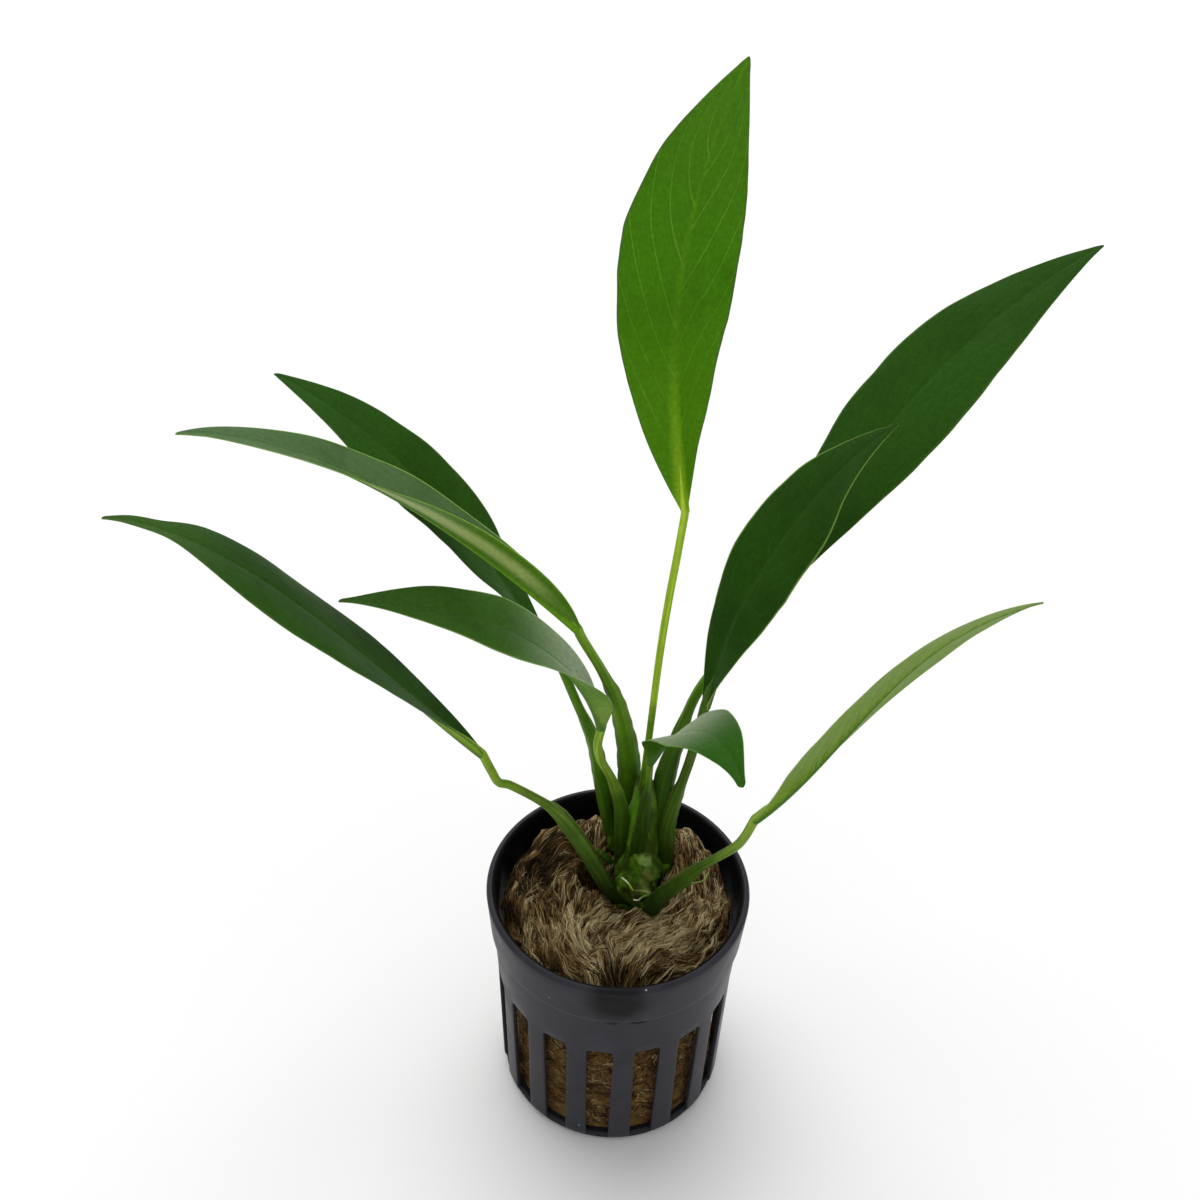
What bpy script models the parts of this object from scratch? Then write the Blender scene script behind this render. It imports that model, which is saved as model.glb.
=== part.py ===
"""Potted anubias congensis: a net pot, its rock wool, the rhizome, nine leaves, two roots and a leaf stub.

Metres, +Z up. The origin is the middle of the pot's base, and the front is -Y.
"""

import math
from dataclasses import dataclass

import bmesh
import bpy
import numpy as np
from mathutils import Vector

MM = 0.001
GAP = 0.3                      # air left between pieces that touch

# Net pot, in millimetres
POT_HEIGHT = 53.0
RIM_RADIUS = 25.0
LIP_WIDTH = 1.7
CREASE_HEIGHT = 43.2           # lower edge of the plain band
CREASE_RADIUS = 24.1
CREASE_STEP = 0.25             # the crease steps this far out above and in below
CREASE_HALF = 0.3              # half the crease's height
SLOT_TOP = 31.2
SLOT_TOP_RADIUS = 23.2
SLOT_BOTTOM = 1.0
SLOT_WIDTH_TOP = 5.1
SLOT_WIDTH_BOTTOM = 4.4
SLOT_CORNER = 0.7
SLOT_COUNT = 16
SLOT_PHASE = -4.7              # degrees from the front to the middle of the first slot
BASE_RADIUS = 22.5             # wall radius just above the rounded bottom edge
BASE_EDGE = 2.5                # radius of the rounded bottom edge
WALL = 0.9
FLOOR = 1.2
FLOOR_DISC_RADIUS = 9.0        # the closed middle of the floor
FLOOR_SLOT_OUTER = 18.0
FLOOR_SLOT_WIDTH = 3.0
FLOOR_SLOT_COUNT = 8
POT_STEPS = 48

# Rock wool plug, in millimetres
WOOL_PROFILE = (               # radius, height: down the outer side from the middle of the top
    (0.0, 48.5), (8.0, 49.3), (14.0, 49.4), (18.2, 48.6), (21.0, 46.8), (21.7, 44.0),
    (20.4, 33.0), (20.6, 20.0), (20.4, 8.0), (19.0, 3.4), (16.5, 1.9), (0.0, 1.9),
)
WOOL_STEPS = 32
WELL_CENTRE = (3.7, 5.6, 50.5)  # the hollow that the crown stands in
WELL_RADII = (10.0, 13.4, 7.3)
NOTCH_ANGLE = 5.0              # degrees from the front to the notch where the strip's ends meet
NOTCH_WIDTH = 5.0
NOTCH_DEPTH = 7.0
NOTCH_INNER = 13.5             # distance from the axis where the notch begins

# Rhizome, in millimetres: points along its axis and its radius there
RHIZOME_PATH = ((3.2, -0.5, 45.2), (3.4, 3.0, 46.0), (3.6, 7.0, 47.0), (3.4, 11.0, 47.8), (3.0, 14.0, 48.2))
RHIZOME_RADII = (2.4, 3.6, 4.0, 3.8, 2.6)

BLADE_THICKNESS = 0.7          # the solids are thicker than the real blade
BLADE_ROWS = 18
BLADE_COLUMNS = 4
BLADE_BASE_WIDTH = 0.8         # half width that the profile never goes under at the base
BLADE_TIP_WIDTH = 0.35
STALK_CLEARANCE = 0.9          # from the top of a stalk to its blade
STALK_POINTS = 14
SHEATH_START = 0.6             # shares of the sheath's length where its taper starts and ends
SHEATH_END = 1.15
SOCKET_POINTS = 5              # points of a stalk that its socket in the rhizome follows


@dataclass
class Leaf:
    """One leaf, in millimetres and degrees.

    The stalk runs from its foot through a few points to the base of the midrib. The midrib is a
    cubic through its base, its points at one third and two thirds, and its tip. The blade's half
    width follows a sine from base to tip with its widest point moved to `widest` and its ends
    drawn in by the powers in `taper`. The stalk is thicker below the place, as a share of its
    length, where its sheath ends. Twist turns the blade about its midrib, and fold lifts the
    two halves from flat into a V. Both are given at base, middle and tip.
    """

    name: str
    foot: tuple
    stalk: tuple
    rib: tuple
    half_width: float
    widest: float
    taper: tuple
    twist: tuple
    fold: tuple
    skew: float = 0.0
    face: tuple = (0.0, 0.0, 1.0)
    stalk_radii: tuple = (1.4, 0.8)
    sheath: float = 0.6
    colour: tuple = (0.03, 0.09, 0.015)


LEAVES = (
    Leaf("tall", (3.4, 9.5, 50.0),
         ((3.5, 9.5, 66.0), (4.4, 9.3, 85.0), (5.2, 8.9, 103.0), (6.1, 8.6, 116.0), (6.9, 8.3, 125.0)),
         ((7.7, 8.0, 134.5), (5.0, 13.0, 158.0), (6.0, 16.0, 181.0), (12.0, 16.0, 204.0)),
         half_width=9.4, widest=0.535, taper=(0.8, 1.0), twist=(24, 22, -12), fold=(27, 15, 19),
         skew=0.05, face=(0.0, -1.0, 0.3), colour=(0.08, 0.22, 0.01),
         stalk_radii=(1.2, 0.65), sheath=0.35),
    Leaf("far_right", (6.4, 11.5, 50.0),
         ((6.6, 11.5, 55.5), (7.0, 11.5, 64.0), (8.1, 12.1, 71.7), (10.2, 13.4, 81.1), (12.9, 14.5, 90.4)),
         ((19.0, 17.0, 100.0), (35.0, 24.0, 126.0), (51.0, 32.0, 149.0), (72.0, 38.0, 169.0)),
         half_width=11.0, widest=0.53, taper=(0.95, 1.0), twist=(20, 0, -15), fold=(30, 16, 12),
         stalk_radii=(1.45, 0.95), sheath=0.6),
    Leaf("mid_right", (8.6, 8.5, 48.0),
         ((9.0, 8.8, 58.7), (9.7, 9.3, 63.9), (11.3, 10.0, 71.5), (12.3, 10.7, 77.0), (13.3, 11.1, 83.6)),
         ((14.0, 11.5, 89.0), (20.0, 14.0, 111.0), (29.0, 16.0, 131.0), (40.0, 14.0, 149.0)),
         half_width=7.9, widest=0.535, taper=(0.87, 1.0), twist=(-11, -21, -22), fold=(30, 13, 14),
         stalk_radii=(1.35, 0.9), sheath=0.5),
    Leaf("upper_left", (-0.6, 12.6, 49.0),
         ((-2.1, 13.6, 55.3), (-4.1, 14.2, 65.9), (-6.1, 15.0, 75.8), (-9.5, 15.8, 85.1), (-12.5, 16.8, 92.9)),
         ((-14.0, 17.0, 96.0), (-28.0, 20.0, 115.0), (-42.0, 24.0, 131.0), (-61.0, 27.0, 145.0)),
         half_width=8.2, widest=0.5, taper=(0.9, 0.87), twist=(-17, -1, 11), fold=(31, 15, 12),
         stalk_radii=(1.2, 0.85), sheath=0.65),
    Leaf("small_left", (0.6, 7.5, 48.0),
         ((-0.2, 7.8, 61.9), (-0.8, 8.2, 67.0), (-2.3, 8.5, 72.0), (-4.3, 8.8, 76.8), (-5.0, 8.9, 80.6)),
         ((-4.4, 9.0, 85.0), (-12.0, 7.0, 102.0), (-27.0, 4.0, 114.0), (-47.0, -2.0, 121.0)),
         half_width=7.3, widest=0.455, taper=(0.8, 1.13), twist=(-26, 0, 17), fold=(54, 8, 20),
         stalk_radii=(1.3, 0.85), sheath=0.6),
    Leaf("long_left", (2.0, 14.5, 51.0),
         ((1.5, 14.2, 60.8), (0.3, 13.3, 75.2), (-0.6, 12.7, 82.3), (-2.0, 11.7, 89.5), (-4.8, 9.9, 98.2),
          (-8.1, 7.6, 107.0)),
         ((-9.0, 7.0, 110.0), (-29.0, 9.0, 127.0), (-50.0, 9.0, 140.0), (-70.0, 2.0, 149.0)),
         half_width=9.1, widest=0.5, taper=(0.79, 0.96), twist=(-45, -24, -8), fold=(55, 17, 12),
         stalk_radii=(1.4, 0.85), sheath=0.72),
    Leaf("curled", (4.0, 5.2, 52.0),
         ((4.1, 5.3, 65.0), (4.5, 5.3, 70.6), (4.9, 5.2, 76.0)),
         ((4.7, 5.1, 80.6), (8.5, -1.5, 93.1), (13.7, -10.6, 103.6), (18.5, -23.8, 105.8)),
         half_width=6.0, widest=0.48, taper=(0.87, 0.96), twist=(17, -10, -34), fold=(51, 13, 16),
         stalk_radii=(1.35, 0.7), sheath=0.85),
    Leaf("low_right", (6.5, -2.6, 47.3),
         ((7.9, -4.7, 54.9), (11.1, -9.1, 65.3), (14.0, -13.4, 74.5), (16.8, -17.6, 82.5), (18.9, -20.7, 88.6),
          (20.0, -22.3, 93.0)),
         ((21.0, -24.0, 99.0), (30.0, -31.0, 123.0), (38.0, -37.0, 145.0), (48.0, -47.0, 164.0)),
         half_width=8.5, widest=0.539, taper=(1.0, 0.87), twist=(21, 12, 20), fold=(20, 1, 2), skew=-0.02,
         colour=(0.06, 0.16, 0.02),
         stalk_radii=(1.5, 0.75), sheath=0.5),
    Leaf("low_left", (1.5, 0.5, 46.5),
         ((-1.9, -0.6, 52.1), (-5.5, -1.6, 61.8), (-9.2, -2.9, 70.9), (-13.1, -3.9, 77.6), (-19.3, -5.2, 83.6),
          (-21.5, -6.0, 85.2), (-22.6, -6.6, 88.4)),
         ((-24.0, -7.5, 93.5), (-42.0, -7.0, 113.0), (-60.5, -7.0, 131.0), (-78.0, -12.0, 143.0)),
         half_width=8.8, widest=0.51, taper=(0.8, 1.16), twist=(-19, -16, -1), fold=(32, -1, 20),
         stalk_radii=(1.45, 0.75), sheath=0.6),
)

# Roots that show above the wool, in millimetres: name, points and radius
ROOTS = (
    ("root_front", ((3.3, 1.0, 49.4), (4.3, 0.0, 50.0), (5.8, -0.4, 49.8), (7.3, -0.7, 49.1)), 0.35),
    ("root_right", ((12.6, 1.7, 50.0), (14.4, 2.9, 50.4), (16.2, 4.4, 50.4), (17.7, 6.4, 49.9)), 0.35),
)

# The stub that an old leaf left at the side of the crown, in millimetres
STUB_PATH = ((-2.3, 8.0, 50.2), (-3.4, 8.6, 51.0), (-4.6, 9.0, 51.8))
STUB_RADIUS = 0.8
SHOOT_POINTS = 8               # points along each root and along the stub


def main():
    clear_scene()
    parts = collection("potted_anubias")
    cutters = collection("cutters")
    make_pot(parts, cutters)
    make_wool(parts, cutters)
    make_rhizome(parts, cutters)
    for leaf in LEAVES:
        make_stalk(leaf, parts)
        make_blade(leaf, parts)
    for name, points, radius in ROOTS:
        make_shoot(name, points, radius, (0.25, 0.22, 0.10), parts)
    make_shoot("leaf_stub", STUB_PATH, STUB_RADIUS, (0.05, 0.12, 0.02), parts)


def clear_scene():
    for obj in list(bpy.data.objects):
        bpy.data.objects.remove(obj, do_unlink=True)


def collection(name):
    made = bpy.data.collections.new(name)
    bpy.context.scene.collection.children.link(made)
    return made


def finish(obj, name, colour, roughness, metallic=0.0):
    """Gives a piece its own plain material and smooth shading."""
    material = bpy.data.materials.new(f"{name}_{obj.name}")
    material.use_nodes = True
    shader = material.node_tree.nodes["Principled BSDF"]
    shader.inputs["Base Color"].default_value = (*colour, 1.0)
    shader.inputs["Roughness"].default_value = roughness
    shader.inputs["Metallic"].default_value = metallic
    obj.data.materials.clear()
    obj.data.materials.append(material)
    obj.data.shade_smooth()
    obj.data.set_sharp_from_angle(angle=math.radians(35))


def mesh_object(name, vertices, faces, into):
    """A new object from vertices in millimetres."""
    mesh = bpy.data.meshes.new(name)
    mesh.from_pydata([Vector(v) * MM for v in vertices], [], faces)
    obj = bpy.data.objects.new(name, mesh)
    into.objects.link(obj)
    return obj


def as_cutter(obj):
    obj.hide_render = True
    obj.display_type = "WIRE"
    return obj


def subtract(obj, name, cutter=None, cutters=None):
    """Cuts one object, or every object of a collection, out of a piece."""
    cut = obj.modifiers.new(name, "BOOLEAN")
    cut.operation = "DIFFERENCE"
    cut.solver = "EXACT"
    if cutters is not None:
        cut.operand_type = "COLLECTION"
        cut.collection = cutters
    else:
        cut.object = cutter


def turned(name, profile, steps, into):
    """A closed solid turned from (radius, height) points in millimetres, top to bottom outside."""
    points = [(r, 0.0, z) for r, z in profile]
    edges = [(i, i + 1) for i in range(len(points) - 1)]
    if profile[0][0] > 0.0:
        edges.append((len(points) - 1, 0))
    mesh = bpy.data.meshes.new(name)
    mesh.from_pydata([Vector(p) * MM for p in points], edges, [])
    obj = bpy.data.objects.new(name, mesh)
    into.objects.link(obj)
    screw = obj.modifiers.new("turn", "SCREW")
    screw.steps = steps
    screw.render_steps = steps
    screw.use_merge_vertices = True
    screw.merge_threshold = 0.00001
    return obj


def smooth_path(points, count):
    """Evenly numbered points on a Catmull-Rom curve through the given ones, as an array."""
    knots = np.array(points, float)
    knots = np.vstack([2 * knots[0] - knots[1], knots, 2 * knots[-1] - knots[-2]])
    spans = len(points) - 1
    out = []
    for u in np.linspace(0.0, spans, count):
        i = min(int(u), spans - 1)
        t = u - i
        a, b, c, d = knots[i:i + 4]
        out.append(0.5 * (2 * b + (c - a) * t + (2 * a - 5 * b + 4 * c - d) * t**2
                          + (3 * b - a - 3 * c + d) * t**3))
    return np.array(out)


def lengthened(path, extra):
    """The same path drawn on a little at both ends."""
    first = path[0] - path[1]
    last = path[-1] - path[-2]
    longer = path.copy()
    longer[0] += first / np.linalg.norm(first) * extra
    longer[-1] += last / np.linalg.norm(last) * extra
    return longer


def tube(name, path, radii, into, sides=8):
    """A closed mesh tube along a path, from a bevelled curve with filled caps. Millimetres."""
    curve = bpy.data.curves.new(name, "CURVE")
    curve.dimensions = "3D"
    curve.bevel_depth = MM
    curve.bevel_resolution = (sides - 4) // 2
    curve.use_fill_caps = True
    spline = curve.splines.new("POLY")
    spline.points.add(len(path) - 1)
    for point, place, radius in zip(spline.points, path, radii):
        point.co = (*(place * MM), 1.0)
        point.radius = radius
    drawn = bpy.data.objects.new(name + "_curve", curve)
    into.objects.link(drawn)
    bpy.context.view_layer.update()
    evaluated = drawn.evaluated_get(bpy.context.evaluated_depsgraph_get())
    mesh = bpy.data.meshes.new_from_object(evaluated)
    weld = bmesh.new()
    weld.from_mesh(mesh)
    bmesh.ops.remove_doubles(weld, verts=weld.verts, dist=0.00001)
    weld.to_mesh(mesh)
    weld.free()
    made = bpy.data.objects.new(name, mesh)
    made.matrix_world = drawn.matrix_world
    into.objects.link(made)
    bpy.data.objects.remove(drawn, do_unlink=True)
    return made


def pot_profile():
    """The pot wall's section: over the lip, down the outside, under the floor and up the inside."""
    lip = LIP_WIDTH / 2
    centre = RIM_RADIUS - lip
    points = []
    for degrees in (90, 60, 30, 0):
        turn = math.radians(degrees)
        points.append((centre + lip * math.cos(turn), POT_HEIGHT - lip + lip * math.sin(turn)))
    points.append((CREASE_RADIUS + CREASE_STEP, CREASE_HEIGHT + CREASE_HALF))
    points.append((CREASE_RADIUS - CREASE_STEP, CREASE_HEIGHT - CREASE_HALF))
    points.append((SLOT_TOP_RADIUS, SLOT_TOP))
    edge_centre = BASE_RADIUS - BASE_EDGE
    for degrees in (0, 30, 60, 90):
        turn = math.radians(degrees)
        points.append((edge_centre + BASE_EDGE * math.cos(turn), BASE_EDGE - BASE_EDGE * math.sin(turn)))
    points.append((0.0, 0.0))
    points.append((0.0, FLOOR))
    inner_edge = BASE_EDGE - WALL
    for degrees in (90, 45, 0):
        turn = math.radians(degrees)
        points.append((edge_centre + inner_edge * math.cos(turn),
                       FLOOR + inner_edge - inner_edge * math.sin(turn)))
    points.append((SLOT_TOP_RADIUS - WALL, SLOT_TOP))
    points.append((CREASE_RADIUS - CREASE_STEP - WALL, CREASE_HEIGHT))
    for degrees in (180, 120):
        turn = math.radians(degrees)
        points.append((centre + lip * math.cos(turn), POT_HEIGHT - lip + lip * math.sin(turn)))
    return points


def radial_cutter(name, outline, inner, angle, into):
    """A bar of the given (sideways, height) outline that points outwards through the wall."""
    outer = RIM_RADIUS + 2.0
    count = len(outline)
    vertices = [(x, -inner, z) for x, z in outline] + [(x, -outer, z) for x, z in outline]
    faces = [tuple(range(count)), tuple(range(count, 2 * count))]
    faces += [(i, (i + 1) % count, (i + 1) % count + count, i + count) for i in range(count)]
    cutter = as_cutter(mesh_object(name, vertices, faces, into))
    cutter.rotation_euler.z = math.radians(angle)
    face_out(cutter)
    return cutter


def slot_outline():
    """A slot's tall outline with bevelled top corners."""
    half_top = SLOT_WIDTH_TOP / 2
    half_bottom = SLOT_WIDTH_BOTTOM / 2
    corner = SLOT_CORNER
    return ((-half_bottom, SLOT_BOTTOM), (half_bottom, SLOT_BOTTOM), (half_top, SLOT_TOP - corner),
            (half_top - corner, SLOT_TOP), (corner - half_top, SLOT_TOP), (-half_top, SLOT_TOP - corner))


def floor_cutter(name, angle, into):
    """A short bar through the floor, between the closed middle and the rounded edge."""
    length = FLOOR_SLOT_OUTER - FLOOR_DISC_RADIUS
    bpy.ops.mesh.primitive_cube_add(size=1.0)
    cutter = bpy.context.object
    cutter.name = name
    middle = FLOOR_DISC_RADIUS + length / 2
    for vertex in cutter.data.vertices:
        vertex.co.x *= FLOOR_SLOT_WIDTH * MM
        vertex.co.y = (vertex.co.y * length - middle) * MM
        vertex.co.z *= 4 * FLOOR * MM
    for owner in cutter.users_collection:
        owner.objects.unlink(cutter)
    into.objects.link(cutter)
    cutter.rotation_euler.z = angle
    return as_cutter(cutter)


def face_out(obj):
    shape = bmesh.new()
    shape.from_mesh(obj.data)
    bmesh.ops.recalc_face_normals(shape, faces=shape.faces)
    shape.to_mesh(obj.data)
    shape.free()


def make_pot(parts, cutters):
    pot = turned("pot", pot_profile(), POT_STEPS, parts)
    slots = bpy.data.collections.new("pot_slots")
    cutters.children.link(slots)
    for i in range(SLOT_COUNT):
        angle = SLOT_PHASE + 360.0 / SLOT_COUNT * i
        radial_cutter(f"slot_{i}", slot_outline(), BASE_RADIUS - BASE_EDGE, angle, slots)
    for i in range(FLOOR_SLOT_COUNT):
        floor_cutter(f"floor_slot_{i}", math.radians(360.0 / FLOOR_SLOT_COUNT * (i + 0.5)), slots)
    subtract(pot, "slots", cutters=slots)
    finish(pot, "polypropylene", (0.022, 0.022, 0.025), 0.45)


def make_wool(parts, cutters):
    wool = turned("rock_wool", WOOL_PROFILE, WOOL_STEPS, parts)
    bpy.ops.mesh.primitive_uv_sphere_add(segments=16, ring_count=8, radius=1.0)
    well = bpy.context.object
    well.name = "well"
    for vertex in well.data.vertices:
        vertex.co = Vector(vertex.co[i] * WELL_RADII[i] + WELL_CENTRE[i] for i in range(3)) * MM
    for owner in well.users_collection:
        owner.objects.unlink(well)
    cutters.objects.link(as_cutter(well))
    subtract(wool, "well", well)
    seat_path = lengthened(smooth_path(RHIZOME_PATH, 9), 2 * GAP)
    seat = tube("rhizome_seat", seat_path, rhizome_radii(9, 2 * GAP), cutters, sides=12)
    subtract(wool, "seat", as_cutter(seat))
    half = NOTCH_WIDTH / 2
    shoulder = WOOL_PROFILE[2][1]
    outline = ((-half, POT_HEIGHT), (half, POT_HEIGHT), (half, shoulder), (0.0, shoulder - NOTCH_DEPTH),
               (-half, shoulder))
    subtract(wool, "notch", radial_cutter("notch", outline, NOTCH_INNER, NOTCH_ANGLE, cutters))
    finish(wool, "mineral_wool", (0.14, 0.09, 0.035), 0.95)


def rhizome_radii(count, extra=0.0):
    places = np.linspace(0.0, 1.0, len(RHIZOME_RADII))
    return np.interp(np.linspace(0.0, 1.0, count), places, RHIZOME_RADII) + extra


def make_rhizome(parts, cutters):
    rhizome = tube("rhizome", smooth_path(RHIZOME_PATH, 9), rhizome_radii(9), parts, sides=12)
    sockets = bpy.data.collections.new("leaf_sockets")
    cutters.children.link(sockets)
    for leaf in LEAVES:
        path = lengthened(stalk_path(leaf)[:SOCKET_POINTS], GAP)
        as_cutter(tube(leaf.name + "_socket", path, stalk_radii(leaf)[:SOCKET_POINTS] + GAP, sockets))
    subtract(rhizome, "sockets", cutters=sockets)
    finish(rhizome, "rhizome", (0.03, 0.10, 0.01), 0.4)


def stalk_path(leaf):
    """The stalk's middle line, ending a little short of the blade."""
    path = smooth_path((leaf.foot, *leaf.stalk, leaf.rib[0]), STALK_POINTS)
    last = path[-1] - path[-2]
    path[-1] -= last / np.linalg.norm(last) * STALK_CLEARANCE
    return path


def stalk_radii(leaf):
    foot, top = leaf.stalk_radii
    along = np.linspace(0.0, 1.0, STALK_POINTS)
    past = np.clip((along / leaf.sheath - SHEATH_START) / (SHEATH_END - SHEATH_START), 0.0, 1.0)
    return foot + (top - foot) * past**2 * (3 - 2 * past)


def make_stalk(leaf, parts):
    stalk = tube("petiole_" + leaf.name, stalk_path(leaf), stalk_radii(leaf), parts)
    finish(stalk, "petiole", (0.10, 0.22, 0.02), 0.4)


def at_thirds(values, t):
    """A cubic through four points that stand at 0, 1/3, 2/3 and 1."""
    places = (0.0, 1 / 3, 2 / 3, 1.0)
    total = np.zeros((len(t), 3))
    for i, value in enumerate(values):
        weight = np.ones(len(t))
        for j, place in enumerate(places):
            if i != j:
                weight *= (t - place) / (places[i] - place)
        total += weight[:, None] * np.array(value, float)
    return total


def at_halves(values, t):
    """A parabola through three values that stand at 0, 1/2 and 1."""
    start, middle, end = values
    return start + (4 * middle - 3 * start - end) * t + 2 * (start + end - 2 * middle) * t**2


def blade_grid(leaf, rows, columns):
    """The blade's surface as rows of points from base to tip, in millimetres.

    Each row stands square to the midrib. It runs from the left margin to the right one as two
    straight halves that the fold lifts by the same angle.
    """
    t = np.linspace(0.0, 1.0, rows + 1)
    rib = at_thirds(leaf.rib, t)
    along = np.gradient(rib, axis=0)
    along /= np.linalg.norm(along, axis=1)[:, None]
    side = np.cross(along, np.array(leaf.face))
    side /= np.linalg.norm(side, axis=1)[:, None]
    up = np.cross(side, along)
    twist = np.radians(at_halves(leaf.twist, t))[:, None]
    side, up = side * np.cos(twist) + up * np.sin(twist), up * np.cos(twist) - side * np.sin(twist)
    bend = math.log(0.5) / math.log(leaf.widest)
    power = leaf.taper[0] + (leaf.taper[1] - leaf.taper[0]) * t
    width = leaf.half_width * np.clip(np.sin(np.pi * t**bend), 0.0, 1.0) ** power
    width = np.maximum(width, BLADE_BASE_WIDTH + (BLADE_TIP_WIDTH - BLADE_BASE_WIDTH) * t)
    fold = np.radians(at_halves(leaf.fold, t))
    across = np.linspace(-1.0, 1.0, columns + 1)
    reach = across[None, :] * (width * np.cos(fold))[:, None] * (1.0 - leaf.skew * np.sign(across))[None, :]
    lift = np.abs(across)[None, :] * (width * np.sin(fold))[:, None]
    return rib[:, None, :] + side[:, None, :] * reach[..., None] + up[:, None, :] * lift[..., None]


def make_shoot(name, points, radius, colour, parts):
    shoot = tube(name, smooth_path(points, SHOOT_POINTS), [radius] * SHOOT_POINTS, parts)
    finish(shoot, "shoot", colour, 0.5)


def make_blade(leaf, parts):
    grid = blade_grid(leaf, BLADE_ROWS, BLADE_COLUMNS)
    rows, columns = grid.shape[:2]
    faces = []
    for i in range(rows - 1):
        for j in range(columns - 1):
            corner = i * columns + j
            faces.append((corner, corner + 1, corner + columns + 1, corner + columns))
    blade = mesh_object("blade_" + leaf.name, grid.reshape(-1, 3), faces, parts)
    wall = blade.modifiers.new("thickness", "SOLIDIFY")
    wall.thickness = BLADE_THICKNESS * MM
    wall.offset = 0.0
    finish(blade, "blade", leaf.colour, 0.35)


main()
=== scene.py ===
"""Looks of a potted anubias congensis: net pot, rock wool, crown, stalks, leaves and roots.

Lengths in the tables are millimetres and turn into metres where a mesh is made. +Z is up, -Y is the front.
"""

import functools
import math
from dataclasses import dataclass

import bmesh
import bpy
import numpy as np
from mathutils import Matrix, Vector


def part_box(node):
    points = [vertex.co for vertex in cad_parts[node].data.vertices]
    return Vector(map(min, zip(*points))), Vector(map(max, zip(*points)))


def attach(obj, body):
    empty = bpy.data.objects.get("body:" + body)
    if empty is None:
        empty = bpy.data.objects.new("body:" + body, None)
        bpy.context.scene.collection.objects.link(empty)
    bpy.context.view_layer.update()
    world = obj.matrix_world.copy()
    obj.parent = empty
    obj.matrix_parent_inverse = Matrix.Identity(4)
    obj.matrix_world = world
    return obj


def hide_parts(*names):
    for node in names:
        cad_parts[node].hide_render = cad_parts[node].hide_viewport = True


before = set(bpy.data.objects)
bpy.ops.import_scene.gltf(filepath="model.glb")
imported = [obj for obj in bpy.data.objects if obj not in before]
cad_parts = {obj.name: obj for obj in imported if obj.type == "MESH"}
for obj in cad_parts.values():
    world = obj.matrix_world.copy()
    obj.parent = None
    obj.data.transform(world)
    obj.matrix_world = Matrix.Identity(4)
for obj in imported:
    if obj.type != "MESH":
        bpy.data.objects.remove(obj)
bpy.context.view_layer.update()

bl_info = {
    "name": "Potted anubias",
    "version": (1, 0, 0),
    "blender": (4, 5, 0),
    "location": "View3D > Sidebar > Potted anubias",
    "description": "Builds the looks of a potted anubias congensis around its packed solids",
    "category": "Object",
}

MM = 0.001
POT_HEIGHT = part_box("pot")[1].z / MM
RIM_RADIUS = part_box("pot")[1].x / MM

# Camera, from the rim's ellipse in the photograph
PHOTO_SIZE = 1200.0            # pixels, width and height
FOCAL = 1480.0                 # pixels
SENSOR = 36.0
CAMERA_PLACE = (0.0, -183.0, 273.0)
CAMERA_DOWN = 39.47            # degrees below the horizon
CAMERA_TURN = -1.618           # degrees towards +X
CAMERA_ROLL = 1.814
KEY_FROM = (-0.15, 0.5, 0.85)  # where the wide soft light comes from
FLOOR_REACH = 1600.0           # half the floor's width

# Net pot
LIP_WIDTH = 1.7
WALL = 0.9
FLOOR = 1.2
CREASE_HEIGHT = 43.2
CREASE_RADIUS = 24.1
CREASE_STEP = 0.25
CREASE_ROUND = 0.14            # radius of the band's rounded lower edge
CREASE_HOLLOW = 0.12           # radius of the hollow under it
INNER_WALL = 24.0              # radius between the wall's two faces, above the crease
SLOT_COUNT = 16
SLOT_PHASE = -4.7              # degrees from the front to the middle of the first slot
SLOT_TOP = 31.8
SLOT_TOP_RADIUS = 23.2
SLOT_BOTTOM = 1.0
SLOT_HALF_TOP = 2.55
SLOT_HALF_BOTTOM = 2.2
SLOT_CORNER = 0.9
BASE_RADIUS = 22.5
BASE_EDGE = 2.5
FLOOR_SLOT_HALF = 1.5
SLOT_COLUMNS = (3, 7)          # the slot's first and last column, of the ten in each part of the turn
ROWS_OVER_SLOTS = (42.7, 40.5, 37.5, 34.5)
ROWS_BESIDE_SLOTS = (26.0, 21.0, 16.0, 11.5, 7.5, 4.8, 3.4)
FLOOR_RINGS = (18.0, 15.0, 12.0, 9.0, 6.0, 3.0, 1.0)   # radii; its slots span the first four
EDGE_ROUND = 0.16              # how far the slots' edges are rounded off
# Marks on the pot: centre, reach, flatness in height and colour
POT_MARKS = (
    # The first two marks are a painted reflection: the band and the lip painted darker at the front, as if
    # mirroring something dark there
    ((0.8, -25.0, 49.2), 8.0, 0.9, "#0a0909"),
    ((0.8, -25.0, 52.6), 5.5, 0.35, "#201f22"),
    ((0.0, -24.1, 42.3), 2.2, 0.35, "#0a0a0a"),
    ((5.0, -23.6, 42.4), 2.4, 0.35, "#0a0a0a"),
    ((-11.6, -21.8, 46.0), 0.25, 1.0, "#c9c9c4"),
    ((1.8, -24.0, 41.2), 0.3, 1.0, "#d9d9d4"),
    ((-10.2, -22.5, 51.8), 0.25, 1.0, "#b9b9b4"),
    ((5.9, -23.9, 52.9), 0.25, 1.0, "#b9b9b4"),
)

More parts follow.
